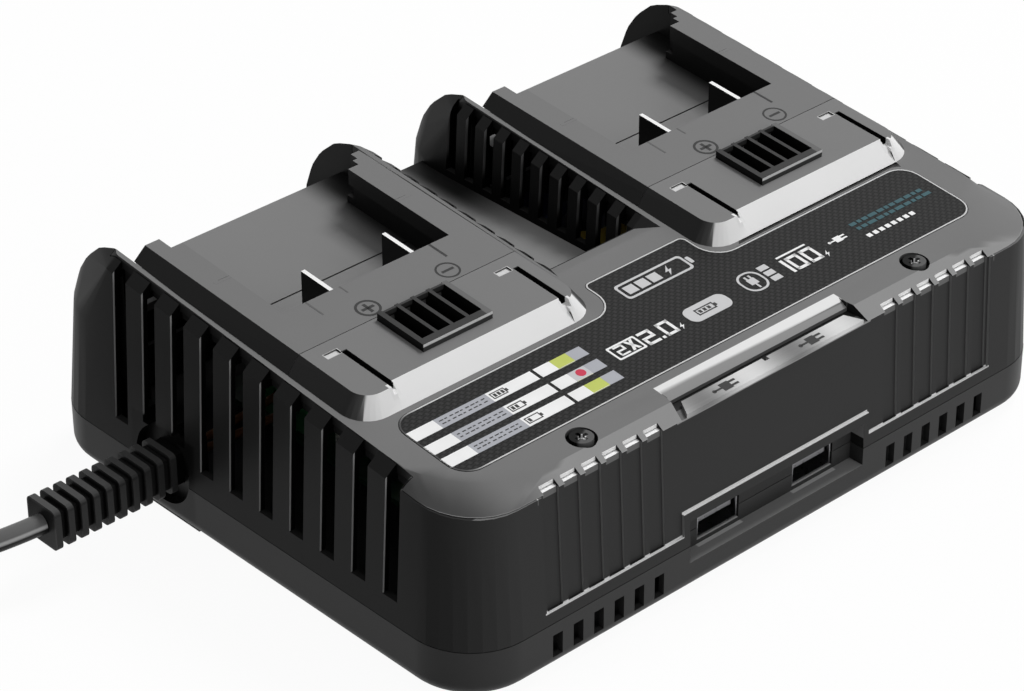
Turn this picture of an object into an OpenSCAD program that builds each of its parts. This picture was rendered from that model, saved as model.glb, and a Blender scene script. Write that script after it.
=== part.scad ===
// Two-bay charger for slide-on power tool batteries, with two USB sockets on its front.
// X runs to the right along the front, Y to the back, Z up. Modules work with y = 0 at the front
// edge of the body; placed() then centres the body over the origin.

/* [Body] */
// Width of the body at the seam
body_w = 209; // [200:1:225]
// Depth of the body at the seam
body_d = 163; // [160:1:170]
// Plan radius of the body's corners
corner_r = 18; // [14:1:20]
// Height of the base cover, from its underside to the seam
base_h = 13.5; // [12.5:0.5:15]
// Wall thickness of the base cover and the housing
wall_t = 1.8; // [1.6:0.1:2.4]
// Draft of the side and front walls, in degrees
side_draft = 3.2; // [2:0.1:4]
// Draft of the back wall, in degrees
back_draft = 5.7; // [4:0.1:7]
// Radius of the base cover's lower edge
base_edge_r = 4; // [3:0.5:5]
// Gap between two shell pieces at a seam
seam_gap = 0.2; // [0.1:0.05:0.3]

/* [Top] */
// Height of the sloping border plane, taken at the front edge
border_front_h = 52.9; // [51:0.1:54]
// Slope of the border plane, in degrees
border_tilt = 5.4; // [4.9:0.1:5.6]
// Height of the sloping decks above the border plane, taken at the front edge
deck_rise = 5.55; // [4.6:0.05:7]
// Slope of the decks, in degrees
deck_tilt = 4.4; // [4:0.1:4.8]
// Thickness of the top cover's border, and the drop of the chamfer round it
border_t = 2.7; // [2.3:0.1:3]
// Width of the chamfer on the sides
side_chamfer = 3.5; // [2.5:0.1:4]
// Width of the chamfer along the front
front_chamfer = 4.8; // [4:0.1:5.2]
// Height of the fins' rounded back corners
fin_round_h = 22; // [16:1:26]
// Depth of the fins' rounded back corners
fin_round_d = 10; // [7:0.5:12]
// Where the border strips end on the fins
strip_end_y = 137; // [134:0.5:139]
// Thickness of the top cover's raised decks
deck_t = 2.2; // [1.8:0.1:2.6]

/* [Bays] */
// Width of a bay's block at the seam
block_w = 92.4; // [90:0.2:94]
// Width of a deck, between its steep side bands
deck_w = 69.8; // [68:0.2:72]
// Width of a deck block's foot on the border
deck_foot_w = 77.3; // [76:0.1:78.5]
// Where a deck block's front bevel starts on the border
deck_foot_y = 44; // [43:0.5:46]
// Where the front bevel meets the deck at its two ends
deck_front_y = 47.2; // [46.5:0.1:48]
// Further run of the front bevel in its middle
bevel_step = 2; // [1:0.1:2.5]
// Where the tray takes over from the top cover's deck
tray_front_y = 70.8; // [70:0.2:73]
// Back edge of the terminal platform
platform_back_y = 86.3; // [84:0.1:88]
// Where the rails end
rail_end_y = 129.7; // [125:0.1:132]
// Length by which the rail lips stop short of the rails
lip_short = 4.9; // [3:0.1:6]
// Back edge of the sunk floor
floor_back_y = 141.5; // [138:0.5:143]
// Depth of the sunk floor below the deck
bay_depth = 13.5; // [12:0.5:15]
// Width of the channel under the lips
channel_w = 61; // [58:0.5:62]
// Width of the opening between the lips
lip_gap = 54; // [50:0.5:55]
// Thickness of the lips
lip_t = 4.5; // [4:0.1:5.5]
// Thickness of the tray's floor and walls
tray_t = 2.2; // [1.8:0.1:2.6]

/* [Terminals] */
// Distance between the two power blades
blade_pitch = 26.3; // [24:0.1:28]
// Offset of the blades' middle from the bay's centre
blade_shift = 2; // [0:0.1:3]
// Thickness of a blade
blade_t = 1.2; // [0.8:0.1:1.6]
// Length of a blade beyond the platform
blade_reach = 11.3; // [9:0.1:13]
// Height of a blade
blade_h = 10.6; // [8.5:0.1:11.5]
// Drop of a blade's top below the deck
blade_drop = 0.4; // [0.2:0.1:1]
// Width of the terminal holder
holder_w = 40.1; // [38:0.1:42]
// Length of the terminal holder
holder_l = 6.9; // [6:0.1:9]
// Width of the signal block
signal_w = 22.4; // [20:0.2:25]
// Where the signal block starts
signal_y = 53; // [52:0.2:54]
// Length of the signal block
signal_l = 16.8; // [15:0.1:17]
// Height by which the signal block stands above the deck
signal_rise = 2; // [1.5:0.1:2.5]

/* [Vents] */
// Number of vent slots in a side
vent_n = 10; // [6:1:10]
// Distance between vent slots
vent_pitch = 11.4; // [11.2:0.05:11.45]
// Width of a vent slot
vent_w = 5.2; // [4:0.1:5.4]
// Middle of the rearmost vent slot
vent_back_y = 129.6; // [129.4:0.1:131]
// Lower end of the vent slots
vent_low_z = 21.3; // [20:0.1:24]
// Rise of the slots' ends above the strain relief
vent_relief_rise = 4; // [3:0.5:6]

/* [Valley] */
// Height of the valley's floor
valley_z = 43; // [41:0.5:45]
// Where the valley's front chamfer starts
valley_rim_y = 60.6; // [59:0.2:62]
// Run of the valley's front chamfer
valley_rim_run = 6.7; // [5:0.1:8]
// Back edge of the valley's floor
valley_back_y = 148.5; // [146:0.5:150]
// Number of slots in each side of the valley
valley_vent_n = 10; // [6:1:10]
// Distance between the valley's slots
valley_vent_pitch = 7.2; // [7:0.05:7.3]
// Width of a valley slot
valley_vent_w = 3.7; // [3:0.1:4.2]
// Middle of the valley's rearmost slot
valley_vent_back_y = 136.1; // [135.6:0.1:137]

/* [Front] */
// Number of flutes on each side of the front
flute_n = 6; // [4:1:6]
// Distance between flutes
flute_pitch = 6.76; // [6.4:0.02:6.8]
// Width of a flute
flute_w = 5; // [4:0.1:5.4]
// Middle of the flute nearest the centre
flute_inner_x = 41.5; // [41:0.1:44]
// Depth of the front's sunk panel
panel_depth = 0.7; // [0.4:0.1:0.9]
// Height of the ledge under the flutes
ledge_z = 18; // [17:0.1:19]
// Height of the ledge over the USB recess
usb_ledge_z = 24.3; // [23.5:0.1:26]
// Width of the USB recess
usb_recess_w = 62; // [58:0.5:64]
// Depth of the USB recess
usb_recess_d = 4.5; // [3.5:0.1:5.5]
// Lower and upper height of the USB recess
usb_recess_low = 9.5; // [9:0.1:10.5]
// Upper height of the USB recess
usb_recess_top = 21.5; // [20.5:0.1:22.5]
// Distance between the USB sockets
usb_pitch = 33.8; // [30:0.1:36]
// Height of the USB sockets' middle
usb_z = 14.2; // [13.8:0.1:14.8]
// Width of a USB socket's shell
usb_w = 14.2; // [13:0.1:15]
// Height of a USB socket's shell
usb_h = 6.6; // [6:0.1:7]
// Length of a USB socket's shell
usb_l = 14; // [12:0.5:18]
// Half width of the legend plate at its back
legend_half = 28.5; // [26:0.5:29]

/* [Cord] */
// Distance of the cord's exit from the front edge
cord_y = 113; // [110:0.5:116]
// Height of the cord's axis at its exit
cord_z = 16.4; // [16:0.1:17]
// Diameter of the cord
cord_d = 5.4; // [5:0.1:6]
// Length of the strain relief outside the body
relief_l = 37.2; // [33:0.1:43]
// Size of the strain relief's square flanges
relief_w = 11.6; // [10.5:0.1:13]
// Distance between the strain relief's flanges
relief_pitch = 3.95; // [3.5:0.05:4.5]
// Thickness of a flange
relief_flange_t = 1.8; // [1.4:0.1:2.2]
// Size of the strain relief's neck
relief_neck = 9; // [8:0.1:9.6]
// Radius of the round pocket in the wall that the strain relief sits in
relief_pocket_r = 10.6; // [9.8:0.1:11.2]
// Depth of that pocket
relief_pocket_d = 3.2; // [2.5:0.1:4]

/* [Inside] */
// Height of the main board's underside above the base's floor
board_rise = 5.5; // [4.8:0.1:6]
// Length of the main board along X
board_l = 132; // [120:1:134]
// Where the main board starts
board_front_y = 34; // [31:0.5:36]
// Where the main board ends
board_back_y = 140; // [136:0.5:142]
// Size of a transformer's bobbin along X
coil_former_l = 34; // [30:1:36]
// Size of a transformer's bobbin along Y
coil_former_w = 30; // [26:1:32]
// Diameter of a transformer's winding
winding_d = 26; // [22:0.5:28]
// Height of a transformer above the board
transformer_h = 27; // [22:0.5:28]
// Distance between the two transformers
transformer_pitch = 44; // [40:1:46]
// Diameter of the large capacitors
cap_d = 18; // [15:0.5:19]
// Height of the large capacitors
cap_h = 27; // [20:0.5:28]
// Length of the heat sinks
sink_l = 96; // [84:1:100]
// Height of the heat sinks
sink_h = 26; // [20:0.5:27]
// Distance between the heat sinks' fins
sink_pitch = 10; // [8:0.5:12]
// Width of the fan's frame
fan_w = 40; // [38:0.5:41]
// Thickness of the fan's frame
fan_t = 10; // [9:0.5:11]
// Number of fan blades
fan_blades = 7; // [5:1:9]
// Diameter of the fan's shaft
fan_shaft_d = 2; // [1.8:0.1:3]
// Diameter of the base screws' threads
screw_d = 3; // [2.5:0.1:3.5]
// Height of the rubber feet below the base
foot_h = 1; // [0.6:0.1:1.4]

/* [Hidden] */
$fn = 48;
tiny = 0.01;
far = 400;
fit = 0.1;
soft_fn = 32;

seam_z = foot_h + base_h;
deck_front_h = border_front_h + deck_rise;
block_half = block_w / 2;
bay_x = (body_w - block_w) / 2;
deck_half = deck_w / 2;
foot_half = deck_foot_w / 2;
strip_half = block_half - wall_draft(border_front_h - seam_z) - side_chamfer;
tray_wall_half = channel_w / 2 + tray_t;
valley_foot_y = valley_rim_y + valley_rim_run;
corner_cut_y = 24.2;
crease_r = 26;
tray_in_y = platform_back_y;
base_floor_z = foot_h + wall_t;
board_z = base_floor_z + board_rise;
board_t = 1.6;

board_top = board_z + board_t + fit;
apron_fall = 0.87;
apron_inset = 5.5;
floor_seam_y = 106.2;
tooth_y = 4.4;
// Drop and shrinking of the fins' corner discs, as shares of fin_round_h and fin_round_d
fin_steps = [[1, 0.02], [0.64, 0.17], [0.36, 0.37], [0.18, 0.54], [0.07, 0.74], [0, 1]];
legend_back_y = 8.5;
relief_inner_x = -body_w / 2 + 10;
terminal_w = 10;
wire_d = 2.2;
fuse_d = 5.2;
board_screw_d = 2.4;

// The decks' grooves, from the bay's centre
groove_left = -25.6;
groove_right = 30.3;
groove_w = 1.7;
groove_depth = 1.6;
groove_back_y = 65.5;

// The label plate and its three lights
label_left = -90.3;
label_right = 89.2;
label_front = 16;
label_back = 42.3;
label_tongue_back = 54.3;
label_tongue_left = -15.8;
label_tongue_right = 19.1;
label_t = 0.7;
light_x = -41.4;
light_y = [22.5, 28.3, 34.6];
light_w = 5.2;
light_d = 3.8;

// The fan stands against the right side
fan_x = bay_x + block_half - 13;
fan_y = 78;
fan_z = base_floor_z + fit + fan_w / 2;
fan_duct_d = fan_w - 2.6;
fan_hub_d = 16;

// A screw at each front border recess, and one at each corner post
top_screw_y = 10.2;
top_screw_recess_d = 7.8;
post_d = 8;
post_inset_x = 12;
post_front_y = 24;
post_back_inset = 24;

// The cord's route, from its exit: x from the body's centre, y from the front edge, z up
route = [
    [-(body_w / 2 + relief_l), cord_y, cord_z],
    [-147, cord_y + 0.4, 16.4],
    [-152.5, cord_y + 1.4, 16.1],
    [-158.5, cord_y + 3.5, 15.1],
    [-165, cord_y + 6.4, 12.8],
    [-171.5, cord_y + 10, 9.5],
    [-178, cord_y + 14, 6],
    [-184.5, cord_y + 18.2, 3.8],
    [-190, cord_y + 22, 2.8]
];
coil_r = 30;
coil_x = -173.7;
coil_y = cord_y + 53.8;
coil_w = 3 * cord_d;
plug_y = coil_y + coil_r + 30;
plug_z = 7;

function wall_draft(h) = h * tan(side_draft);
function back_lean(h) = h * tan(back_draft);
function border_z(y) = border_front_h + y * tan(border_tilt);
function kink_z(y) = border_z(y) - border_t;
function deck_z(y) = deck_front_h + y * tan(deck_tilt);
function floor_z(y) = deck_z(y) - bay_depth;
function side_sign(side) = side == "left" ? -1 : 1;
function vent_y(i) = vent_back_y - i * vent_pitch;
function valley_vent_y(i) = valley_vent_back_y - i * valley_vent_pitch;
function deck_rise_at(y) = deck_z(y) - border_z(y);
// A plan distance along y, measured along the sloping border plane instead
function along(y) = y / cos(border_tilt);

// ---------------------------------------------------------------- helpers

module placed() {
    translate([0, -body_d / 2, 0]) children();
}

module at_bay(side) {
    translate([side_sign(side) * bay_x, 0, 0]) children();
}

module both_bays() {
    for (side = ["left", "right"]) at_bay(side) children();
}

// Draws a y-z profile and runs it along x
module run_x(x0, x1) {
    translate([x0, 0, 0]) rotate([90, 0, 90]) linear_extrude(x1 - x0) children();
}

module block(x0, x1, y0, y1, z0, z1) {
    translate([x0, y0, z0]) cube([x1 - x0, y1 - y0, z1 - z0]);
}

// All space between two x values above a plane that rises towards the back
module above(h, tilt, x0 = -far, x1 = far, y0 = -50, y1 = far) {
    run_x(x0, x1) polygon([[y0, h + y0 * tan(tilt)], [y1, h + y1 * tan(tilt)], [y1, far], [y0, far]]);
}

// A sheet of constant height between two planes that share a slope
module layer(h0, h1, tilt, x0, x1, y0, y1) {
    run_x(x0, x1) polygon([
        [y0, h0 + y0 * tan(tilt)], [y1, h0 + y1 * tan(tilt)],
        [y1, h1 + y1 * tan(tilt)], [y0, h1 + y0 * tan(tilt)]
    ]);
}

// Moves flat shapes onto the border plane, where y runs up the slope
module on_border(lift = 0) {
    translate([0, 0, border_front_h]) rotate([border_tilt, 0, 0]) translate([0, 0, lift]) children();
}

module on_deck(lift = 0) {
    translate([0, 0, deck_front_h]) rotate([deck_tilt, 0, 0]) translate([0, 0, lift]) children();
}

module round_rect(x0, x1, y0, y1, r) {
    translate([x0 + r, y0]) square([x1 - x0 - 2 * r, y1 - y0]);
    translate([x0, y0 + r]) square([x1 - x0, y1 - y0 - 2 * r]);
    for (x = [x0 + r, x1 - r], y = [y0 + r, y1 - r]) translate([x, y]) circle(r);
}

module disc(x, y, z, r, tilt = 0) {
    translate([x, y, z]) rotate([tilt, 0, 0]) cylinder(r = r, h = tiny, $fn = soft_fn);
}

// ---------------------------------------------------------------- shell forms

// The drafted body with its chamfer and sloping top, shrunk by inset on every side.
// half is half its width at the seam, front and back are its ends in y. Its back corners are
// rounded off towards the top by discs that shrink as they rise.
module drafted_form(half, front, back, inset, crease) {
    x = half - inset;
    r = corner_r - inset;
    front_lean = wall_draft(kink_z(front) - seam_z);
    r_kink = r - front_lean;
    y_front = front + inset + front_lean + r_kink;
    y_crease = front + inset + front_lean + front_chamfer + crease;
    y_end = strip_end_y - 3 - inset;
    y_back = back - inset - corner_r;
    hull() for (sx = [-1, 1]) {
        disc(sx * (x - r), front + inset + r, seam_z - tiny, r);
        disc(sx * (x - r), back - inset - r, seam_z - tiny, r);
        disc(sx * (side_x(x, y_front) - r_kink), y_front, kink_z(y_front) - inset, r_kink, border_tilt);
        disc(sx * (side_x(x, y_crease) - side_chamfer - crease), y_crease,
             border_z(y_crease) - inset - tiny, crease, border_tilt);
        // the straight sides end here
        disc(sx * (side_x(x, y_end) - 3), y_end, kink_z(y_end) - inset, 3, border_tilt);
        disc(sx * (side_x(x, y_end) - side_chamfer - 3), y_end, border_z(y_end) - inset - tiny, 3, border_tilt);
        for (step = fin_steps) {
            below = inset + tiny + step[0] * fin_round_h;
            rise = border_z(y_back) - below - seam_z;
            r_here = r - wall_draft(rise);
            y = back - inset - back_lean(rise) - r_here;
            disc(sx * (x - r), y, border_z(y) - below, max(r_here - step[1] * fin_round_d, 1), border_tilt);
        }
    }
}
// The side wall's place at the kink line, for a wall that stands at x at the seam
function side_x(x, y) = x - wall_draft(kink_z(y) - seam_z);

module body_form(inset = 0) {
    drafted_form(body_w / 2, 0, body_d, inset, crease_r);
}

// One bay's upper block. It gives the wall towards the valley and its back corner; its other
// sides run past the body, which cuts them.
module block_form(side, inset = 0) {
    past = 15;
    translate([side_sign(side) * (bay_x + past), 0, 0])
        drafted_form(block_half + past, -4 * corner_r, body_d + 0.6, inset, corner_r / 2);
}

// The part of the upper body in front of the valley, with the valley's front chamfer
module front_region(inset = 0) {
    y_foot = valley_foot_y - inset;
    y_rim = valley_rim_y - inset;
    run_x(-body_w, body_w) polygon([
        [-50, 0], [y_foot, 0], [y_foot, kink_z(y_foot)], [y_rim, border_z(y_rim)],
        [y_rim, border_z(y_rim) + 5], [-50, border_z(y_rim) + 5]
    ]);
}

// The slope from the valley's floor down to the back wall
module low_region(inset = 0) {
    run_x(-body_w, body_w) polygon([
        [-50, 0], [body_d + 50, 0], [body_d + 50, valley_z - 12 - inset],
        [body_d - 3, valley_z - 12 - inset], [valley_back_y, valley_z - inset], [-50, valley_z - inset]
    ]);
}

// The whole upper body: two blocks and the valley between them
module body_solid(inset = 0) {
    intersection() {
        body_form(inset);
        union() {
            low_region(inset);
            front_region(inset);
            block_form("left", inset);
            block_form("right", inset);
        }
    }
}

// Plan of the top cover's border, shrunk by gap
module border_plan(gap = 0) {
    translate([-body_w, -10]) square([2 * body_w, corner_cut_y + 10 - gap]);
    for (s = [-1, 1]) translate([s * bay_x - strip_half + gap, -10])
        square([2 * (strip_half - gap), strip_end_y + 10 - gap]);
    translate([-bay_x, -10]) square([2 * bay_x, valley_foot_y + 10]);
}

// The space that belongs to the top cover's border, above the kink plane
module border_space(gap = 0) {
    intersection() {
        above(border_front_h - border_t + gap, border_tilt);
        linear_extrude(far) border_plan(gap);
    }
}

// A raised deck block. Its sides and its front run on below the border plane at the same slope.
module deck_form(back = rail_end_y) {
    drop = border_t / 2;
    band = foot_half - deck_half;
    run = deck_front_y - deck_foot_y;
    r_top = 5;
    k = 1 + drop / deck_rise_at(deck_foot_y);
    k_back = 1 + drop / deck_rise_at(back);
    r_foot = r_top + 3 * k;
    x_foot = deck_half + band * k;
    x_back = deck_half + band * k_back;
    y_foot = deck_front_y - run * k + r_foot;
    y_top = deck_front_y + r_top;
    hull() for (sx = [-1, 1]) {
        disc(sx * (x_foot - r_foot), y_foot, border_z(y_foot) - drop, r_foot, border_tilt);
        disc(sx * (deck_half - r_top), y_top, deck_z(y_top) - tiny, r_top, deck_tilt);
        translate([sx * x_back - 0.5 - 0.5 * sx, back - 1, border_z(back - 1) - drop])
            rotate([border_tilt, 0, 0]) cube([1, 1, tiny]);
        translate([sx * deck_half - 0.5 - 0.5 * sx, back - 1, deck_z(back - 1) - tiny])
            rotate([deck_tilt, 0, 0]) cube([1, 1, tiny]);
    }
}

// ---------------------------------------------------------------- shell pieces

// Half section of the base's wall at a given reach from its centre, with the rounded lower edge
module base_section(reach) {
    top = seam_z - seam_gap / 2;
    translate([0, foot_h]) square([reach - base_edge_r, top - foot_h]);
    translate([0, foot_h + base_edge_r]) square([reach, top - foot_h - base_edge_r]);
    translate([reach - base_edge_r, foot_h + base_edge_r]) circle(base_edge_r);
}

module base_outer() {
    x = body_w / 2 - corner_r;
    for (sx = [-1, 1], y = [corner_r, body_d - corner_r])
        translate([sx * x, y, 0]) rotate_extrude($fn = 72) base_section(corner_r);
    run_x(-x, x) for (s = [-1, 1]) translate([body_d / 2, 0]) scale([s, 1]) base_section(body_d / 2);
    translate([0, corner_r, 0]) mirror([0, 1, 0]) rotate([90, 0, 0]) linear_extrude(body_d - 2 * corner_r)
        for (s = [-1, 1]) scale([s, 1]) base_section(body_w / 2);
}

module plan_outline(inset) {
    round_rect(-body_w / 2 + inset, body_w / 2 - inset, inset, body_d - inset, corner_r - inset);
}

// A lip inside the seam, on a ledge that ties it to the wall
module base_lip() {
    lip_in = wall_t + 2 * seam_gap;
    translate([0, 0, seam_z - 2.6]) linear_extrude(2.4) difference() {
        plan_outline(wall_t - 0.4);
        plan_outline(lip_in + 1.4);
    }
    translate([0, 0, seam_z - 0.4]) linear_extrude(2.2) difference() {
        plan_outline(lip_in);
        plan_outline(lip_in + 1.4);
    }
}

module post_places() {
    for (sx = [-1, 1], y = [post_front_y, body_d - post_back_inset])
        translate([sx * (body_w / 2 - post_inset_x), y, 0]) children();
}

module foot_places() {
    for (sx = [-1, 1], y = [26, body_d - 26])
        translate([sx * (body_w / 2 - 34), y, 0]) children();
}

module board_places() {
    for (x = [-58, 58], y = [44, 132]) translate([x, y, 0]) children();
}

// The round pocket of the strain relief, and the opening for its neck, through both shells
module relief_opening(gap) {
    half = relief_neck / 2 + gap;
    block(-body_w / 2 - 10, -body_w / 2 + 12, cord_y - half, cord_y + half, cord_z - half, cord_z + half);
    translate([-body_w / 2 - 10, cord_y, cord_z]) rotate([0, 90, 0])
        cylinder(r = relief_pocket_r, h = 10 + relief_pocket_d);
}

// Solid wall behind the pocket
module relief_backing() {
    half = relief_pocket_r + wall_t;
    block(-body_w / 2 + 1, -body_w / 2 + relief_pocket_d + wall_t, cord_y - half, cord_y + half,
          base_floor_z - 1, cord_z + half);
}

module usb_recess() {
    half = usb_recess_w / 2;
    block(-half, half, -5, usb_recess_d, usb_recess_low, usb_recess_top);
}

module usb_holes() {
    for (sx = [-1, 1])
        block(sx * usb_pitch / 2 - usb_w / 2 - seam_gap, sx * usb_pitch / 2 + usb_w / 2 + seam_gap,
              usb_recess_d - 1, usb_recess_d + 10,
              usb_z - usb_h / 2 - seam_gap, usb_z + usb_h / 2 + seam_gap);
}

// Solid wall behind the USB recess
module usb_backing() {
    half = usb_recess_w / 2 + wall_t;
    block(-half, half, 1, usb_recess_d + wall_t, usb_recess_low - wall_t, usb_recess_top + wall_t);
}

module base_slots() {
    for (sx = [-1, 1], i = [0:flute_n - 1])
        block(sx * (flute_inner_x + i * flute_pitch) - 1.6, sx * (flute_inner_x + i * flute_pitch) + 1.6,
              -1, 6, foot_h + base_edge_r * 0.9, foot_h + 10);
}

module base_cover() {
    color([0.09, 0.09, 0.09]) placed() difference() {
        union() {
            difference() {
                base_outer();
                translate([0, 0, base_floor_z]) linear_extrude(base_h) plan_outline(wall_t);
            }
            difference() {
                base_lip();
                post_places() cylinder(d = post_d + 1, h = far);
                block(-usb_recess_w / 2 - wall_t - 0.5, usb_recess_w / 2 + wall_t + 0.5, -5, 10, 0, far);
                block(-body_w, -body_w / 2 + 12, cord_y - relief_pocket_r - wall_t - 0.5,
                      cord_y + relief_pocket_r + wall_t + 0.5, 0, far);
            }
            post_places() cylinder(d = post_d, h = seam_z - seam_gap - foot_h);
            board_places() cylinder(d = 6, h = board_z - fit);
            intersection() {
                union() {
                    usb_backing();
                    relief_backing();
                }
                block(-far, far, 0, far, base_floor_z - 1, seam_z - seam_gap / 2);
            }
            fan_cradle();
        }
        translate([0, 0, -1]) cube([far, far, 2 * foot_h], center = true);
        usb_recess();
        usb_holes();
        relief_opening(seam_gap);
        base_slots();
        post_places() {
            translate([0, 0, -1]) cylinder(d = screw_d + 0.4, h = far);
            translate([0, 0, -1]) cylinder(d = 2 * screw_d + 0.6, h = foot_h + 4);
        }
        foot_places() cylinder(d = 12.4, h = foot_h + 0.8);
        board_places() translate([0, 0, board_z - 5]) cylinder(d = board_screw_d, h = far);
    }
}

// Two ribs on the base's floor that hold the fan's frame upright
module fan_cradle() {
    for (dx = [-fan_t / 2 - fit - 1.5, fan_t / 2 + fit])
        block(fan_x + dx, fan_x + dx + 1.5, fan_y - fan_w / 2, fan_y + fan_w / 2,
              base_floor_z - 1, base_floor_z + 6);
}

// How far a slot reaches into the body at a height: through the chamfer to the border strip
function vent_reach(y) = wall_draft(kink_z(y) - seam_z) + side_chamfer + 0.3;

module side_vents() {
    for (i = [0:vent_n - 1], sx = [-1, 1]) {
        near_relief = abs(vent_y(i) - cord_y) < relief_pocket_r;
        y = vent_y(i) - vent_w / 2;
        x = sx * (bay_x + block_half);
        reach = vent_reach(vent_y(i));
        block(x - reach, x + reach, y, y + vent_w, vent_low_z + (near_relief ? vent_relief_rise : 0), far);
    }
    for (i = [0:valley_vent_n - 1], sx = [-1, 1]) {
        y = valley_vent_y(i) - valley_vent_w / 2;
        x = sx * (bay_x - block_half);
        reach = vent_reach(valley_vent_y(i));
        if (y > valley_foot_y + 1) block(x - reach, x + reach, y, y + valley_vent_w, valley_z + 2, far);
    }
}

// Flat shapes on the drafted front wall, cut to a depth; their y is the height above the seam
module on_front(depth) {
    translate([0, depth, seam_z]) rotate([90 - side_draft, 0, 0]) linear_extrude(20) children();
}

// The front's sunk panel: lower over the flutes, higher over the USB recess
module front_panel() {
    reach = flute_inner_x + (flute_n - 1) * flute_pitch + flute_pitch / 2;
    half = usb_recess_w / 2 + 2;
    low = ledge_z - seam_z;
    high = usb_ledge_z - seam_z;
    on_front(panel_depth) polygon([
        [-reach, 80], [-reach, low], [-half, low], [-half, high],
        [half, high], [half, low], [reach, low], [reach, 80]
    ]);
}

module flutes(depth) {
    for (sx = [-1, 1], i = [0:flute_n - 1]) {
        x = sx * (flute_inner_x + i * flute_pitch);
        on_front(panel_depth + depth) translate([x - flute_w / 2, ledge_z - seam_z]) square([flute_w, 80]);
    }
}

// Gap in the front's top edge where the legend plate lies
module legend_space(gap = 0) {
    linear_extrude(far) polygon([
        [-legend_half - 6 - gap, -10], [legend_half + 6 + gap, -10],
        [legend_half + 3 + gap, legend_back_y + gap], [-legend_half - 3 - gap, legend_back_y + gap]
    ]);
}

// The border's own ledge inside the housing, on both outer sides and round the valley
module inner_ledges() {
    h = border_front_h - border_t;
    for (sx = [-1, 1]) {
        edge = sx * (bay_x + strip_half);
        layer(h - 2, h + 3, border_tilt, min(edge - 3, edge + 3), max(edge - 3, edge + 3),
              corner_cut_y, strip_end_y - 2);
        inner = sx * (bay_x - strip_half);
        layer(h - 2, h + 3, border_tilt, min(inner - 3, inner + 3), max(inner - 3, inner + 3),
              valley_foot_y - 6, strip_end_y - 2);
    }
    layer(h - 2, h + 3, border_tilt, -bay_x + strip_half, bay_x - strip_half,
          valley_foot_y - 6, valley_foot_y - 1);
}

// The fins' inner walls behind the rails
module fin_walls() {
    for (side = ["left", "right"], sx = [-1, 1]) {
        edge = side_sign(side) * bay_x + sx * foot_half;
        block(min(edge, edge + sx * wall_t), max(edge, edge + sx * wall_t),
              rail_end_y - 3, body_d, seam_z + 15, far);
    }
}

// What the trays take out of the housing: everything above the ramp line between the fins
module tray_space(gap) {
    for (s = [-1, 1]) {
        run_x(s * bay_x - foot_half, s * bay_x + foot_half) polygon([
            [rail_end_y - 3, floor_z(rail_end_y) - tray_t - gap],
            [floor_back_y, floor_z(floor_back_y) - tray_t - gap],
            [body_d + 5, floor_z(floor_back_y) - tray_t - gap - (body_d + 5 - floor_back_y) * apron_fall],
            [body_d + 5, far], [rail_end_y - 3, far]
        ]);
    }
}

module housing_posts() {
    post_places() translate([0, 0, seam_z]) cylinder(d = post_d, h = 24);
    for (sx = [-1, 1]) {
        translate([sx * bay_x, top_screw_y, 0])
            translate([0, 0, seam_z + 16])
                cylinder(d = post_d, h = kink_z(top_screw_y) - seam_gap - seam_z - 16);
    }
}

// Webs that tie each post to the nearest wall
module post_webs() {
    for (sx = [-1, 1]) {
        x = sx * (body_w / 2 - post_inset_x);
        for (y = [post_front_y, body_d - post_back_inset])
            block(min(x, sx * (body_w / 2 - 3)), max(x, sx * (body_w / 2 - 3)), y - 1, y + 1,
                  seam_z + 4, seam_z + 24);
        block(sx * bay_x - 1, sx * bay_x + 1, 3, top_screw_y, seam_z + 16, kink_z(3) - 1);
    }
}

module main_housing() {
    color([0.1, 0.1, 0.1]) placed() difference() {
        body_solid();
        difference() {
            body_solid(wall_t);
            inner_ledges();
            fin_walls();
            housing_posts();
            post_webs();
            legend_shelf();
            usb_backing();
            relief_backing();
        }
        block(-far, far, -10, far, -10, seam_z + seam_gap / 2);
        border_space(0);
        tray_space(seam_gap);
        top_opening();
        side_vents();
        front_panel();
        flutes(0.6);
        usb_recess();
        usb_holes();
        relief_opening(seam_gap);
        post_places() translate([0, 0, seam_z - 1]) cylinder(d = screw_d - 0.4, h = 18);
        for (s = [-1, 1]) translate([s * bay_x, top_screw_y, seam_z + 18])
            cylinder(d = screw_d - 0.4, h = 60);
    }
}

// The room that the trays' rails and floors need below the border
module top_opening() {
    for (s = [-1, 1])
        layer(border_front_h - border_t - 8, border_front_h + 20, border_tilt,
              s * bay_x - tray_wall_half - 1, s * bay_x + tray_wall_half + 1, tray_front_y - 10, rail_end_y);
}

module legend_shelf() {
    h = border_front_h - border_t;
    layer(h - 2, h + 3, border_tilt, -legend_half - 5, legend_half + 5, 1, legend_back_y + 3);
}

module tray_window(gap) {
    for (s = [-1, 1])
        block(s * bay_x - tray_wall_half - gap, s * bay_x + tray_wall_half + gap,
              tray_front_y + 3, far, 20, far);
}

module top_cover() {
    color([0.42, 0.42, 0.42]) placed() difference() {
        union() {
            intersection() {
                body_solid();
                border_space(seam_gap);
            }
            intersection() {
                both_bays() deck_form();
                block(-far, far, 0, tray_front_y - seam_gap / 2, 0, far);
            }
        }
        // the hollow under each deck
        for (s = [-1, 1]) translate([s * bay_x, 0, 0])
            layer(border_front_h - border_t - 5, deck_front_h - deck_t, deck_tilt,
                  -deck_half + 2.5, deck_half - 2.5, deck_front_y + 4, tray_front_y + 1);
        tray_window(seam_gap);
        tray_space(seam_gap);
        both_bays() {
            bevel_middle();
            deck_grooves();
            deck_squares();
            signal_seat();
        }
        label_recess();
        light_holes();
        legend_space(seam_gap);
        legend_bevel();
        teeth();
        top_screw_holes();
    }
}

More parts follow.
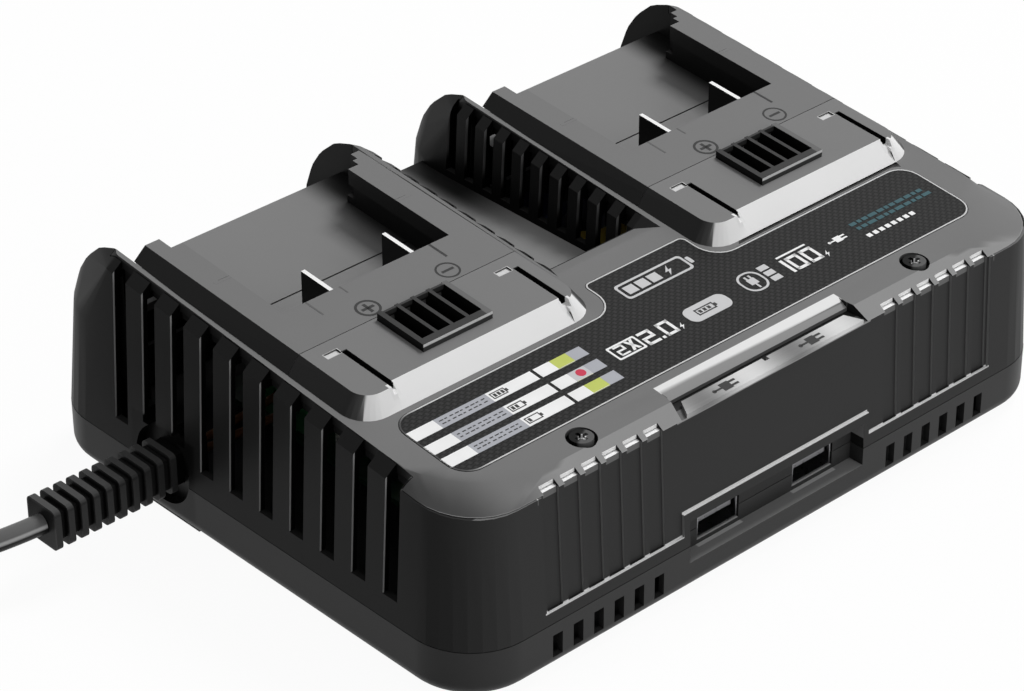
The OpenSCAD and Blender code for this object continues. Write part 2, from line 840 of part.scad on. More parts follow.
// The front bevel runs further up in its middle
module bevel_middle() {
    run_x(groove_left, groove_right) polygon([
        [deck_foot_y, border_z(deck_foot_y)],
        [deck_front_y + bevel_step, deck_z(deck_front_y + bevel_step)],
        [deck_front_y + bevel_step, far], [deck_foot_y, far]
    ]);
}

module deck_grooves() {
    for (x = [groove_left, groove_right])
        layer(deck_front_h - groove_depth, deck_front_h + 5, deck_tilt, x - groove_w / 2, x + groove_w / 2,
              deck_foot_y + 1.5, groove_back_y);
}

// Small square windows beside the grooves' back ends
module deck_squares() {
    for (x = [groove_left - 3, groove_right - 3.6])
        layer(deck_front_h - 0.5, deck_front_h + 5, deck_tilt, x - 2.1, x + 2.1, groove_back_y - 0.5,
              groove_back_y + 1.5);
}

module signal_seat() {
    block(-signal_w / 2 - fit, signal_w / 2 + fit, signal_y - fit, signal_y + signal_l + fit, 20, far);
}

// Outline of the label plate, drawn on the border plane
module label_outline(grow = 0) {
    r = 6 + grow;
    round_rect(label_left - grow, label_right + grow,
               along(label_front) - grow, along(label_back) + grow, r);
    translate([label_tongue_left - grow, along(label_front)])
        square([label_tongue_right - label_tongue_left + 2 * grow,
                along(label_tongue_back) - along(label_front) + grow - 2]);
    round_rect(label_tongue_left - grow, label_tongue_right + grow, along(label_back) - 6,
               along(label_tongue_back) + grow, 2 + grow);
    // concave shoulders beside the tongue
    fillet = 7 - grow;
    for (s = [[label_tongue_left - grow, -1], [label_tongue_right + grow, 1]]) difference() {
        translate([s[0] + min(0, s[1] * fillet), along(label_back) + grow - 1])
            square([fillet, fillet + 1]);
        translate([s[0] + s[1] * fillet, along(label_back) + grow + fillet]) circle(fillet);
    }
}

module label_recess() {
    on_border(-label_t - fit) linear_extrude(20) label_outline(fit);
}

// The three indicator windows
module light_holes() {
    for (y = light_y) block(light_x - light_w / 2 - fit, light_x + light_w / 2 + fit,
                            y - light_d / 2 - fit, y + light_d / 2 + fit, 20, far);
}

module legend_bevel() {
    rim = 3;
    half = legend_half + 3;
    run_x(-half, half) polygon([
        [legend_back_y, border_z(legend_back_y) - 1.6],
        [legend_back_y + rim, border_z(legend_back_y + rim)],
        [legend_back_y + rim, far], [legend_back_y - 1, far],
        [legend_back_y - 1, border_z(legend_back_y) - 1.6]
    ]);
}

// Scallops in the front chamfer over the flutes
module teeth() {
    for (sx = [-1, 1], i = [0:flute_n - 1]) {
        x = sx * (flute_inner_x + i * flute_pitch);
        block(x - flute_w / 2, x + flute_w / 2, -5, tooth_y, 20, far);
    }
}

module top_screw_holes() {
    both_bays() translate([0, top_screw_y, 0]) {
        cylinder(d = screw_d + 0.4, h = far);
        translate([0, 0, border_z(top_screw_y) - 1.9]) cylinder(d = top_screw_recess_d, h = far);
    }
}

// ---------------------------------------------------------------- bay pieces

// One tray: rails that stand on the border, a tub between them, the terminal platform in front
module bay_tray(side) {
    color([0.42, 0.42, 0.42]) placed() at_bay(side) difference() {
        union() {
            intersection() {
                deck_form();
                block(-far, far, tray_front_y + seam_gap / 2, far, 0, far);
                above(border_front_h + fit, border_tilt);
            }
            // tub
            run_x(-tray_wall_half, tray_wall_half) polygon([
                [tray_in_y - tray_t - 3, floor_z(tray_in_y) - tray_t],
                [rail_end_y, floor_z(rail_end_y) - tray_t],
                [rail_end_y, deck_z(rail_end_y) - 1], [tray_in_y - tray_t - 3, deck_z(tray_in_y) - 2]
            ]);
            // floor behind the rails and the apron down to the back wall
            intersection() {
                run_x(-foot_half + fit, foot_half - fit) polygon([
                    [rail_end_y - 4, floor_z(rail_end_y - 4) - tray_t],
                    [floor_back_y, floor_z(floor_back_y) - tray_t],
                    [body_d, floor_z(floor_back_y) - tray_t - (body_d - floor_back_y) * apron_fall],
                    [body_d, floor_z(floor_back_y) - (body_d - floor_back_y) * apron_fall],
                    [floor_back_y, floor_z(floor_back_y)], [rail_end_y - 4, floor_z(rail_end_y - 4)]
                ]);
                linear_extrude(far) round_rect(-block_half + apron_inset, block_half - apron_inset, 0,
                                               body_d - apron_inset, corner_r - apron_inset);
            }
        }
        // channel under the lips
        run_x(-channel_w / 2, channel_w / 2) polygon([
            [tray_in_y, floor_z(tray_in_y)], [floor_back_y, floor_z(floor_back_y)], [floor_back_y, far],
            [rail_end_y - lip_short, far], [rail_end_y - lip_short, deck_z(rail_end_y - lip_short) - lip_t],
            [tray_in_y, deck_z(tray_in_y) - lip_t]
        ]);
        // opening between the lips
        block(-lip_gap / 2, lip_gap / 2, tray_in_y, far, floor_z(tray_in_y) + 5, far);
        // hollow under the platform
        layer(border_front_h - border_t - 20, deck_front_h - deck_t, deck_tilt,
              -deck_half + 2.5, deck_half - 2.5, tray_front_y - 1, tray_in_y - tray_t - holder_l + 4.5);
        // stepped end of the right lip
        block(channel_w / 2 - 2, channel_w / 2 + 1.6, rail_end_y - 2.6, far, floor_z(rail_end_y) + 2, far);
        // fine seam across the floor
        run_x(-channel_w / 2, channel_w / 2) polygon([
            [floor_seam_y, floor_z(floor_seam_y) - 0.4], [floor_seam_y + 0.5, floor_z(floor_seam_y) - 0.4],
            [floor_seam_y + 0.5, far], [floor_seam_y, floor_z(floor_seam_y) + 2]
        ]);
        blade_slots();
    }
}

function blade_x(i) = blade_shift + (i - 0.5) * blade_pitch;

// The blades' roots pass through the platform's back wall, below its top skin
module blade_slots() {
    for (i = [0, 1]) layer(deck_front_h - blade_drop - blade_h - fit, deck_front_h - deck_t - fit, deck_tilt,
                           blade_x(i) - blade_t / 2 - fit, blade_x(i) + blade_t / 2 + fit,
                           tray_in_y - 2 * holder_l, tray_in_y + 1);
}

module terminal_holder(side) {
    color([0.15, 0.15, 0.15]) placed() at_bay(side) difference() {
        layer(deck_front_h - 20, deck_front_h - deck_t - fit, deck_tilt,
              -holder_w / 2, holder_w / 2, tray_in_y - tray_t - 1.5 - holder_l, tray_in_y - tray_t - 3.2);
        for (i = [0, 1]) layer(deck_front_h - blade_drop - blade_h - fit, deck_front_h, deck_tilt,
                               blade_x(i) - blade_t / 2 - fit, blade_x(i) + blade_t / 2 + fit, 0, body_d);
    }
}

module power_blades(side) {
    color([0.85, 0.85, 0.87]) placed() at_bay(side) for (i = [0, 1]) {
        x0 = blade_x(i) - blade_t / 2;
        low = deck_front_h - blade_drop - blade_h;
        layer(low, deck_front_h - blade_drop, deck_tilt, x0, x0 + blade_t,
              tray_in_y + fit, tray_in_y + blade_reach);
        layer(low, deck_front_h - deck_t - 2 * fit, deck_tilt, x0, x0 + blade_t,
              tray_in_y - holder_l - 3, tray_in_y + 1);
    }
}

module signal_block(side) {
    slot_pitch = signal_w / 4.4;
    color([0.06, 0.06, 0.06]) placed() at_bay(side) difference() {
        union() {
            layer(deck_front_h - 8, deck_front_h + signal_rise, deck_tilt,
                  -signal_w / 2, signal_w / 2, signal_y, signal_y + signal_l);
            layer(deck_front_h - deck_t - fit - 2, deck_front_h - deck_t - fit, deck_tilt,
                  -signal_w / 2 - 2, signal_w / 2 + 2, signal_y - 0.5, signal_y + signal_l + 0.5);
        }
        for (i = [-1.5:1:1.5])
            layer(deck_front_h - 5.5, deck_front_h + 9, deck_tilt,
                  i * slot_pitch - slot_pitch * 0.39, i * slot_pitch + slot_pitch * 0.39,
                  signal_y + 2.2, signal_y + signal_l + 1);
    }
}

module signal_contacts(side) {
    slot_pitch = signal_w / 4.4;
    color([0.8, 0.7, 0.4]) placed() at_bay(side) for (i = [-1.5:1:1.5])
        layer(deck_front_h - 5.5 + fit, deck_front_h - 1.5, deck_tilt,
              i * slot_pitch - 0.6, i * slot_pitch + 0.6, signal_y + 3, signal_y + signal_l - 2);
}

// ---------------------------------------------------------------- plates and lights

module label_plate() {
    color([0.05, 0.05, 0.05]) placed() difference() {
        on_border(-label_t) linear_extrude(label_t) label_outline();
        light_holes();
    }
}

module usb_legend_plate() {
    color([0.75, 0.75, 0.75]) placed() intersection() {
        layer(border_front_h - border_t + fit, border_front_h - border_t + fit + 1.2, border_tilt,
              -far, far, -5, 20);
        linear_extrude(far) polygon([
            [-legend_half - 2.5, 2.4], [legend_half + 2.5, 2.4], [legend_half, legend_back_y - 1.6],
            [0.8, legend_back_y - 1.6], [0.8, legend_back_y - 2.8], [-0.8, legend_back_y - 2.8],
            [-0.8, legend_back_y - 1.6], [-legend_half, legend_back_y - 1.6]
        ]);
    }
}

module light_pipes() {
    color([0.9, 0.9, 0.8]) placed() for (y = light_y)
        block(light_x - light_w / 2, light_x + light_w / 2, y - light_d / 2, y + light_d / 2,
              indicator_top_z() + 2.3, border_z(y) - 0.1);
}

function indicator_top_z() = border_z(light_y[0]) - 8;

module indicator_board() {
    color([0.1, 0.35, 0.15]) placed()
        block(light_x - 14, light_x + 14, light_y[0] - 7, light_y[2] + 6,
              indicator_top_z() - 1.6, indicator_top_z());
}

module status_leds() {
    color([0.9, 0.9, 0.3]) placed() for (y = light_y)
        block(light_x - 1.6, light_x + 1.6, y - 1, y + 1, indicator_top_z() + fit, indicator_top_z() + 2);
}

// ---------------------------------------------------------------- inside

module usb_socket(side) {
    x = side_sign(side) * usb_pitch / 2;
    y0 = usb_recess_d + 0.4;
    skin = 0.5;
    color([0.7, 0.7, 0.72]) placed() {
        difference() {
            block(x - usb_w / 2, x + usb_w / 2, y0, y0 + usb_l, usb_z - usb_h / 2, usb_z + usb_h / 2);
            block(x - usb_w / 2 + skin, x + usb_w / 2 - skin, y0 - 1, y0 + usb_l - skin,
                  usb_z - usb_h / 2 + skin, usb_z + usb_h / 2 - skin);
        }
        block(x - usb_w / 2 + 1.2, x + usb_w / 2 - 1.2, y0 + 1, y0 + usb_l - skin / 2,
              usb_z + 0.4, usb_z + 2.2);
    }
}

module usb_board() {
    color([0.1, 0.35, 0.15]) placed()
        block(-34, 34, usb_recess_d + wall_t + 0.5, usb_recess_d + 22,
              usb_z - usb_h / 2 - fit - board_t, usb_z - usb_h / 2 - fit);
}

module main_board() {
    color([0.1, 0.35, 0.15]) placed() difference() {
        block(-board_l / 2, board_l / 2, board_front_y, board_back_y, board_z, board_z + board_t);
        board_places() cylinder(d = board_screw_d + 0.6, h = far);
    }
}

module mains_terminal() {
    x = -board_l / 2 + terminal_w / 2 + 2;
    color([0.2, 0.5, 0.25]) placed() difference() {
        block(x - terminal_w / 2, x + terminal_w / 2, cord_y - 9, cord_y + 9,
              board_top, board_top + terminal_w);
        for (dy = [-4, 4]) translate([x - terminal_w / 2 - 2, cord_y + dy, cord_z + 1]) rotate([0, 90, 0])
            cylinder(d = wire_d + 0.4, h = terminal_w - 2);
    }
}

// The two mains wires, from the strain relief's inner end into the terminal's holes
module mains_wires() {
    r = wire_d / 2;
    color([0.5, 0.3, 0.15]) placed() for (dy = [-4, 4]) hull() {
        translate([relief_inner_x + r + fit, cord_y + dy / 2.4, cord_z]) sphere(r, $fn = 14);
        translate([-board_l / 2 + 6, cord_y + dy, cord_z + 1]) sphere(r, $fn = 14);
    }
}

module transformers() {
    y = (board_front_y + board_back_y) / 2 + 2;
    color([0.8, 0.7, 0.3]) placed() for (x = [-transformer_pitch / 2, transformer_pitch / 2]) {
        block(x - coil_former_l / 2, x + coil_former_l / 2, y - coil_former_w / 2, y + coil_former_w / 2,
              board_top, board_top + 4);
        block(x - coil_former_l / 2 + 1, x + coil_former_l / 2 - 1, y - coil_former_w / 4, y + coil_former_w / 4,
              board_top + 4, board_top + transformer_h);
        translate([x, y, board_top + 4]) cylinder(d = winding_d, h = transformer_h - 5);
    }
}

// Two large capacitors and two small ones beside them
module capacitors() {
    y = board_back_y - cap_d / 2 - 14.5;
    small_d = 0.7 * cap_d;
    color([0.15, 0.2, 0.3]) placed() {
        for (x = [-transformer_pitch / 2, transformer_pitch / 2 + 4])
            translate([x, y, board_top]) cylinder(d = cap_d, h = cap_h);
        for (x = [-transformer_pitch / 2 - cap_d, transformer_pitch / 2 + 4 + cap_d])
            translate([x, y, board_top]) cylinder(d = small_d, h = 0.72 * cap_h);
    }
}

module heat_sinks() {
    color([0.6, 0.6, 0.62]) placed() for (y = [board_front_y + 14, board_front_y + 26]) {
        block(-sink_l / 2, sink_l / 2, y, y + 2.5, board_top, board_top + sink_h);
        for (x = [-sink_l / 2 + 3:sink_pitch:sink_l / 2 - 3])
            block(x - 0.8, x + 0.8, y - 3, y + 2.6, board_top + 4, board_top + sink_h);
    }
}

module fuse() {
    x = -board_l / 2 + 8;
    y = (board_front_y + board_back_y) / 2 + 1;
    color([0.9, 0.9, 0.85]) placed() {
        translate([x, y, board_top + 3.4]) rotate([-90, 0, 0]) cylinder(d = fuse_d, h = 20, center = true);
        for (dy = [-8, 8]) block(x - 3, x + 3, y + dy - 1.5, y + dy + 1.5, board_top, board_top + 3);
    }
}

// Fan: a square frame with a bored duct and a shaft bearing on four struts
module fan_axis() {
    translate([fan_x, fan_y, fan_z]) rotate([0, 90, 0]) children();
}

module fan_frame() {
    bearing_d = fan_shaft_d + 0.1;
    color([0.08, 0.08, 0.08]) placed() fan_axis() difference() {
        union() {
            difference() {
                translate([-fan_w / 2, -fan_w / 2, -fan_t / 2]) linear_extrude(fan_t)
                    round_rect(0, fan_w, 0, fan_w, 3);
                cylinder(d = fan_duct_d, h = fan_t + 2, center = true, $fn = 64);
            }
            translate([0, 0, -fan_t / 2]) cylinder(d = fan_hub_d, h = 1.2);
            translate([0, 0, -fan_t / 2]) cylinder(d = 5, h = 5.2);
            for (a = [45:90:315]) rotate([0, 0, a])
                translate([5, -0.8, -fan_t / 2]) cube([fan_duct_d / 2 - 4, 1.6, 1.2]);
        }
        translate([0, 0, -fan_t / 2 - 1]) cylinder(d = bearing_d, h = fan_t);
        for (x = [-1, 1], y = [-1, 1]) translate([x * (fan_w / 2 - 4), y * (fan_w / 2 - 4), -fan_t])
            cylinder(d = 3.4, h = 2 * fan_t);
    }
}

module fan_rotor() {
    cup_low = -fan_t / 2 + 1.8;
    cup_top = fan_t / 2 - 0.4;
    blade_r = fan_duct_d / 2 - 0.7;
    color([0.13, 0.13, 0.13]) placed() fan_axis() {
        difference() {
            translate([0, 0, cup_low]) cylinder(d = fan_hub_d, h = cup_top - cup_low);
            translate([0, 0, cup_low - 1]) cylinder(d = fan_hub_d - 2.4, h = cup_top - cup_low - 0.4);
        }
        translate([0, 0, -fan_t / 2 + 0.4]) cylinder(d = fan_shaft_d, h = cup_top - 0.6 + fan_t / 2 - 0.4);
        intersection() {
            translate([0, 0, cup_low]) difference() {
                cylinder(r = blade_r, h = cup_top - cup_low);
                translate([0, 0, -1]) cylinder(d = fan_hub_d - 1.2, h = fan_t);
            }
            for (i = [0:fan_blades - 1]) rotate([0, 0, i * 360 / fan_blades])
                rotate([38, 0, 0]) translate([fan_hub_d / 2 - 1, -6, -0.45]) cube([fan_duct_d, 12, 0.9]);
        }
    }
}

// ---------------------------------------------------------------- cord

// A square flange across the cord, with rounded corners
module relief_flange(x, w, t = relief_flange_t) {
    translate([x, 0, 0]) rotate([90, 0, 90]) linear_extrude(t) translate([-w / 2, -w / 2])
        round_rect(0, w, 0, w, 1.6);
}

// Ribbed square sleeve: its root sits in the wall's pocket, its neck passes the wall to an inner flange
module strain_relief() {
    root = -body_w / 2 + relief_pocket_d;
    tip = -body_w / 2 - relief_l;
    n = floor((root - tip - relief_flange_t - fit) / relief_pitch);
    core = relief_neck - 1.4;
    color([0.07, 0.07, 0.07]) placed() translate([0, cord_y, cord_z]) {
        hull() {
            translate([root - 1 - fit, -relief_neck / 2, -relief_neck / 2])
                cube([1, relief_neck, relief_neck]);
            translate([tip, -core / 2, -core / 2]) cube([1, core, core]);
        }
        translate([root - 1, -relief_neck / 2, -relief_neck / 2])
            cube([relief_inner_x - root + 1, relief_neck, relief_neck]);
        relief_flange(root + wall_t + fit, relief_neck + 4);
        for (i = [0:n]) relief_flange(tip + i * relief_pitch, relief_w);
    }
}

// Sweeps a round tube along the points of a route
function unit(v) = v / norm(v);
function heading(p, i) =
    i == 0 ? unit(p[1] - p[0]) :
    i == len(p) - 1 ? unit(p[i] - p[i - 1]) :
    unit(unit(p[i + 1] - p[i]) + unit(p[i] - p[i - 1]));
function sideways(t) = unit(cross(t, [0, 0, 1]));
module tube(p, d, sides = 10) {
    rings = [for (i = [0:len(p) - 1]) let (t = heading(p, i), s = sideways(t), u = cross(s, t))
        for (k = [0:sides - 1]) p[i] + d / 2 * (cos(k * 360 / sides) * s + sin(k * 360 / sides) * u)];
    n = len(p);
    walls = [for (i = [0:n - 2], k = [0:sides - 1])
        [i * sides + k, i * sides + (k + 1) % sides, (i + 1) * sides + (k + 1) % sides, (i + 1) * sides + k]];
    polyhedron(points = rings, faces = concat(walls,
        [[for (k = [sides - 1:-1:0]) k]], [[for (k = [0:sides - 1]) (n - 1) * sides + k]]));
}

module cord_lead() {
    color([0.2, 0.2, 0.2]) placed() tube(route, cord_d);
}

module cord_coil() {
    color([0.2, 0.2, 0.2]) placed() translate([coil_x, coil_y, 0.1]) rotate_extrude()
        translate([coil_r - coil_w / 2, 0]) round_rect(0, coil_w, 0, coil_w, cord_d / 2);
}

module coil_tie() {
    color([0.5, 0.5, 0.5]) placed() translate([coil_x + coil_r, coil_y, 0.1 + coil_w / 2]) rotate([90, 0, 0])
        translate([0, 0, -3]) linear_extrude(6) difference() {
            round_rect(-coil_w / 2 - 1.2, coil_w / 2 + 1.2, -coil_w / 2 + 0.1, coil_w / 2 + 1.2, cord_d / 2);
            round_rect(-coil_w / 2 - 0.3, coil_w / 2 + 0.3, -coil_w / 2 - 1, coil_w / 2 + 0.3, cord_d / 2);
        }
}

// A flat two-pin plug whose tail meets the coil's outside
module mains_plug() {
    color([0.07, 0.07, 0.07]) placed() difference() {
        translate([coil_x, plug_y, plug_z]) {
            rotate([90, 0, 0]) linear_extrude(32, center = true)
                round_rect(-18, 18, -6.9, 6.9, 4);
            rotate([90, 0, 0]) cylinder(d1 = 11, d2 = 7.5, h = coil_r);
        }
        translate([coil_x, coil_y, -1]) cylinder(r = coil_r + coil_w / 2, h = far);
    }
}

module plug_pins() {
    color([0.8, 0.75, 0.5]) placed() translate([coil_x, plug_y, plug_z])
        for (x = [-9.5, 9.5]) translate([x, 16, 0]) rotate([-90, 0, 0]) cylinder(d = 4, h = 19);
}

// ---------------------------------------------------------------- fasteners and feet

module screw(head_d, head_h, d, l) {
    difference() {
        union() {
            cylinder(d = head_d, h = head_h);
            translate([0, 0, head_h - tiny]) cylinder(d = d, h = l);
        }
        for (a = [0, 90]) rotate([0, 0, a]) translate([-head_d * 0.3, -0.5, -1]) cube([head_d * 0.6, 1, 2]);
    }
}

module top_screws() {
    color([0.2, 0.2, 0.2]) placed() both_bays() translate([0, top_screw_y, border_z(top_screw_y) - 1.9 + 2.2])
        mirror([0, 0, 1]) screw(2 * screw_d, 2.2, screw_d - 0.5, 12);
}

module base_screws() {
    color([0.2, 0.2, 0.2]) placed() post_places()
        translate([0, 0, foot_h + 1]) screw(2 * screw_d, 2, screw_d - 0.5, 20);
}

module board_screws() {
    color([0.6, 0.6, 0.6]) placed() board_places() translate([0, 0, board_z + board_t + fit + 1.4])
        mirror([0, 0, 1]) screw(4.6, 1.4, board_screw_d - 0.2, 5);
}

module rubber_feet() {
    color([0.1, 0.1, 0.1]) placed() foot_places() cylinder(d = 12, h = foot_h + 0.7);
}

// ---------------------------------------------------------------- nodes

base_cover();
main_housing();
top_cover();
bay_tray("left");  // left_bay_tray
bay_tray("right");  // right_bay_tray
terminal_holder("left");  // left_terminal_holder
terminal_holder("right");  // right_terminal_holder
power_blades("left");  // left_power_blades
power_blades("right");  // right_power_blades
signal_block("left");  // left_signal_block
signal_block("right");  // right_signal_block
signal_contacts("left");  // left_signal_contacts
signal_contacts("right");  // right_signal_contacts
label_plate();
usb_legend_plate();
light_pipes();
indicator_board();
status_leds();
usb_socket("left");  // left_usb_socket
usb_socket("right");  // right_usb_socket
usb_board();
main_board();
mains_terminal();
transformers();
capacitors();
heat_sinks();
fuse();
mains_wires();
fan_frame();
fan_rotor();
strain_relief();
cord_lead();
cord_coil();
coil_tie();
mains_plug();
plug_pins();
top_screws();
base_screws();
board_screws();
rubber_feet();
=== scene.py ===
import math

import bpy
from mathutils import Matrix, Vector


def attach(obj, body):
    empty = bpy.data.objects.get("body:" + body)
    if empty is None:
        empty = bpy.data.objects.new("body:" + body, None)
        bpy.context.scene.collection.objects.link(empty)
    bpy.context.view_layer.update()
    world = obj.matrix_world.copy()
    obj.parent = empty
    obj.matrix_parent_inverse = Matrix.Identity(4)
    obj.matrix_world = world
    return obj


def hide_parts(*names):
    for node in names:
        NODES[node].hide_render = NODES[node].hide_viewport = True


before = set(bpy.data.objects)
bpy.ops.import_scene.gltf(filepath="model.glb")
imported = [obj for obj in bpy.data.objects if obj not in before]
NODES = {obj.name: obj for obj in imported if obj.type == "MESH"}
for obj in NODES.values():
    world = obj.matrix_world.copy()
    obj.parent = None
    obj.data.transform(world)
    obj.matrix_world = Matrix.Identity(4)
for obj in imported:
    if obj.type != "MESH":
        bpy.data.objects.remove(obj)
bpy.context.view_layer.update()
MM = 0.001
TO_MM = 1000.0

# Lengths are in mm. In the CAD y starts at the body's front edge, in the row frame at the body's middle.
BODY_D = 163.0
# the planes of the cover's border and of the bays' decks: height at the front edge, and slope
BORDER_H, BORDER_TILT = 52.9, math.radians(5.4)
DECK_H, DECK_TILT = 58.45, math.radians(4.4)
BAY_X = 58.3
BAYS = (("left", -BAY_X), ("right", BAY_X))
# the outer walls and the valley's walls lean in by WALL_LEAN for each mm of height
HALF_W, VALLEY_HALF = 104.5, 12.1
WALL_LEAN, WALL_START = 0.0559, -0.81
CHAMFER_H, LEGEND_H = 2.7, 1.3
FLUTE_X, FLUTE_PITCH = 39.0, 6.76
BEVEL_END = 48.6
SCREW_Y = 10.2
RELIEF_Y, RELIEF_Z = 113.0, 16.4


def row_y(y):
    """A y from the body's front edge in mm, as the row frame's y in metres."""
    return (y - BODY_D / 2) * MM


def P(x, y, z):
    """A point given in mm, with y from the front edge, in the row frame in metres."""
    return Vector((x * MM, row_y(y), z * MM))


def grey(v):
    """A neutral colour from its 0 to 255 display value."""
    c = ((v / 255 + 0.055) / 1.055) ** 2.4
    return (c, c, c)


def add(name, data):
    """A new object in the scene."""
    o = bpy.data.objects.new(name, data)
    bpy.context.scene.collection.objects.link(o)
    return o


# ------------------------------------------------------------------ camera

# the photograph's camera, solved on the body's edges
CAM_AZ, CAM_EL, CAM_ROLL = math.radians(-42.783), math.radians(32.41), math.radians(-0.173)
CAM_PLACE = (-541.9, -570.0, 520.3)
FOCAL_PX, PHOTO_W, SENSOR_W = 3572.8, 1024.0, 36.0


def make_camera():
    """A camera turned by azimuth and elevation, then rolled a little about its view axis."""
    back = Vector((math.sin(CAM_AZ) * math.cos(CAM_EL), -math.cos(CAM_AZ) * math.cos(CAM_EL), math.sin(CAM_EL)))
    level = (-back).cross(Vector((0, 0, 1))).normalized()
    up = level.cross(-back)
    right = math.cos(CAM_ROLL) * level + math.sin(CAM_ROLL) * up
    top = -math.sin(CAM_ROLL) * level + math.cos(CAM_ROLL) * up
    cam = add("camera", bpy.data.cameras.new("camera"))
    cam.data.sensor_fit = "HORIZONTAL"
    cam.data.sensor_width = SENSOR_W
    cam.data.lens = SENSOR_W * FOCAL_PX / PHOTO_W
    cam.data.clip_start, cam.data.clip_end = 0.05, 20.0
    m = Matrix.Identity(4)
    for i, axis in enumerate((right, top, back)):
        for k in range(3):
            m[k][i] = axis[k]
    m.translation = Vector(CAM_PLACE) * MM
    cam.matrix_world = m
    bpy.context.scene.camera = cam


make_camera()
bpy.context.scene.view_settings.view_transform = "Standard"


# ------------------------------------------------------------------ materials

GRAIN_DEPTH = 0.0002


class Mat:
    """A small wrapper to wire shader nodes in few lines."""

    def __init__(self, name):
        self.m = bpy.data.materials.new(name)
        self.m.use_nodes = True
        self.t = self.m.node_tree
        self.b = self.t.nodes["Principled BSDF"]

    def link(self, a, b):
        self.t.links.new(a, b)

    def put(self, value, sock):
        """A number, a colour or another node's output, put into a socket."""
        if isinstance(value, (int, float)):
            sock.default_value = value
        elif isinstance(value, (tuple, list)):
            sock.default_value = (*value[:3], 1.0)
        else:
            self.link(value, sock)

    def math(self, op, a, b=None, c=None, clamp=False):
        n = self.t.nodes.new("ShaderNodeMath")
        n.operation = op
        n.use_clamp = clamp
        for value, sock in zip((a, b, c), n.inputs):
            if value is not None:
                self.put(value, sock)
        return n.outputs[0]

    def mix(self, fac, a, b):
        n = self.t.nodes.new("ShaderNodeMix")
        n.data_type = "RGBA"
        for value, i in ((fac, 0), (a, 6), (b, 7)):
            self.put(value, n.inputs[i])
        return n.outputs[2]

    def ramp(self, value, stops):
        """A smooth step; stops are its two input ends, then its two outputs."""
        n = self.t.nodes.new("ShaderNodeMapRange")
        n.interpolation_type = "SMOOTHSTEP"
        self.link(value, n.inputs[0])
        for i, stop in enumerate(stops):
            n.inputs[1 + i].default_value = stop
        return n.outputs[0]

    def coords(self):
        n = self.t.nodes.new("ShaderNodeTexCoord")
        return n.outputs["Object"], n.outputs["Normal"]

    def xyz(self, vec):
        n = self.t.nodes.new("ShaderNodeSeparateXYZ")
        self.link(vec, n.inputs[0])
        return n.outputs[0], n.outputs[1], n.outputs[2]

    def stretch(self, vec, scale):
        n = self.t.nodes.new("ShaderNodeMapping")
        n.inputs["Scale"].default_value = scale
        self.link(vec, n.inputs[0])
        return n.outputs[0]

    def noise(self, vec, scale, detail=3.0, rough=0.5):
        n = self.t.nodes.new("ShaderNodeTexNoise")
        n.inputs["Scale"].default_value = scale
        n.inputs["Detail"].default_value = detail
        n.inputs["Roughness"].default_value = rough
        self.link(vec, n.inputs["Vector"])
        return n.outputs["Fac"]

    def bump(self, height, strength, distance=GRAIN_DEPTH):
        n = self.t.nodes.new("ShaderNodeBump")
        n.inputs["Strength"].default_value = strength
        n.inputs["Distance"].default_value = distance
        self.link(height, n.inputs["Height"])
        self.link(n.outputs[0], self.b.inputs["Normal"])

    def set(self, **values):
        for k, v in values.items():
            self.put(v, self.b.inputs[k.replace("_", " ")])

    def roughen(self, value, low, spread):
        """Roughness that goes from low to low + spread with a noise's value."""
        self.set(Roughness=self.math("ADD", self.math("MULTIPLY", value, spread), low))


def plastic(name, color, rough=0.42, spec=0.5):
    """Moulded plastic: a fine spark-eroded grain, and a slow change of colour and sheen."""
    m = Mat(name)
    obj, _ = m.coords()
    slow, fine = m.noise(obj, 35.0), m.noise(obj, 9000.0, 2.0)
    m.set(Base_Color=m.mix(m.ramp(slow, (0.3, 0.7, 0.0, 1.0)), [c * 0.8 for c in color], color))
    m.roughen(slow, rough - 0.03, 0.06)
    m.set(Specular_IOR_Level=spec)
    m.bump(fine, 0.06)
    return m.m


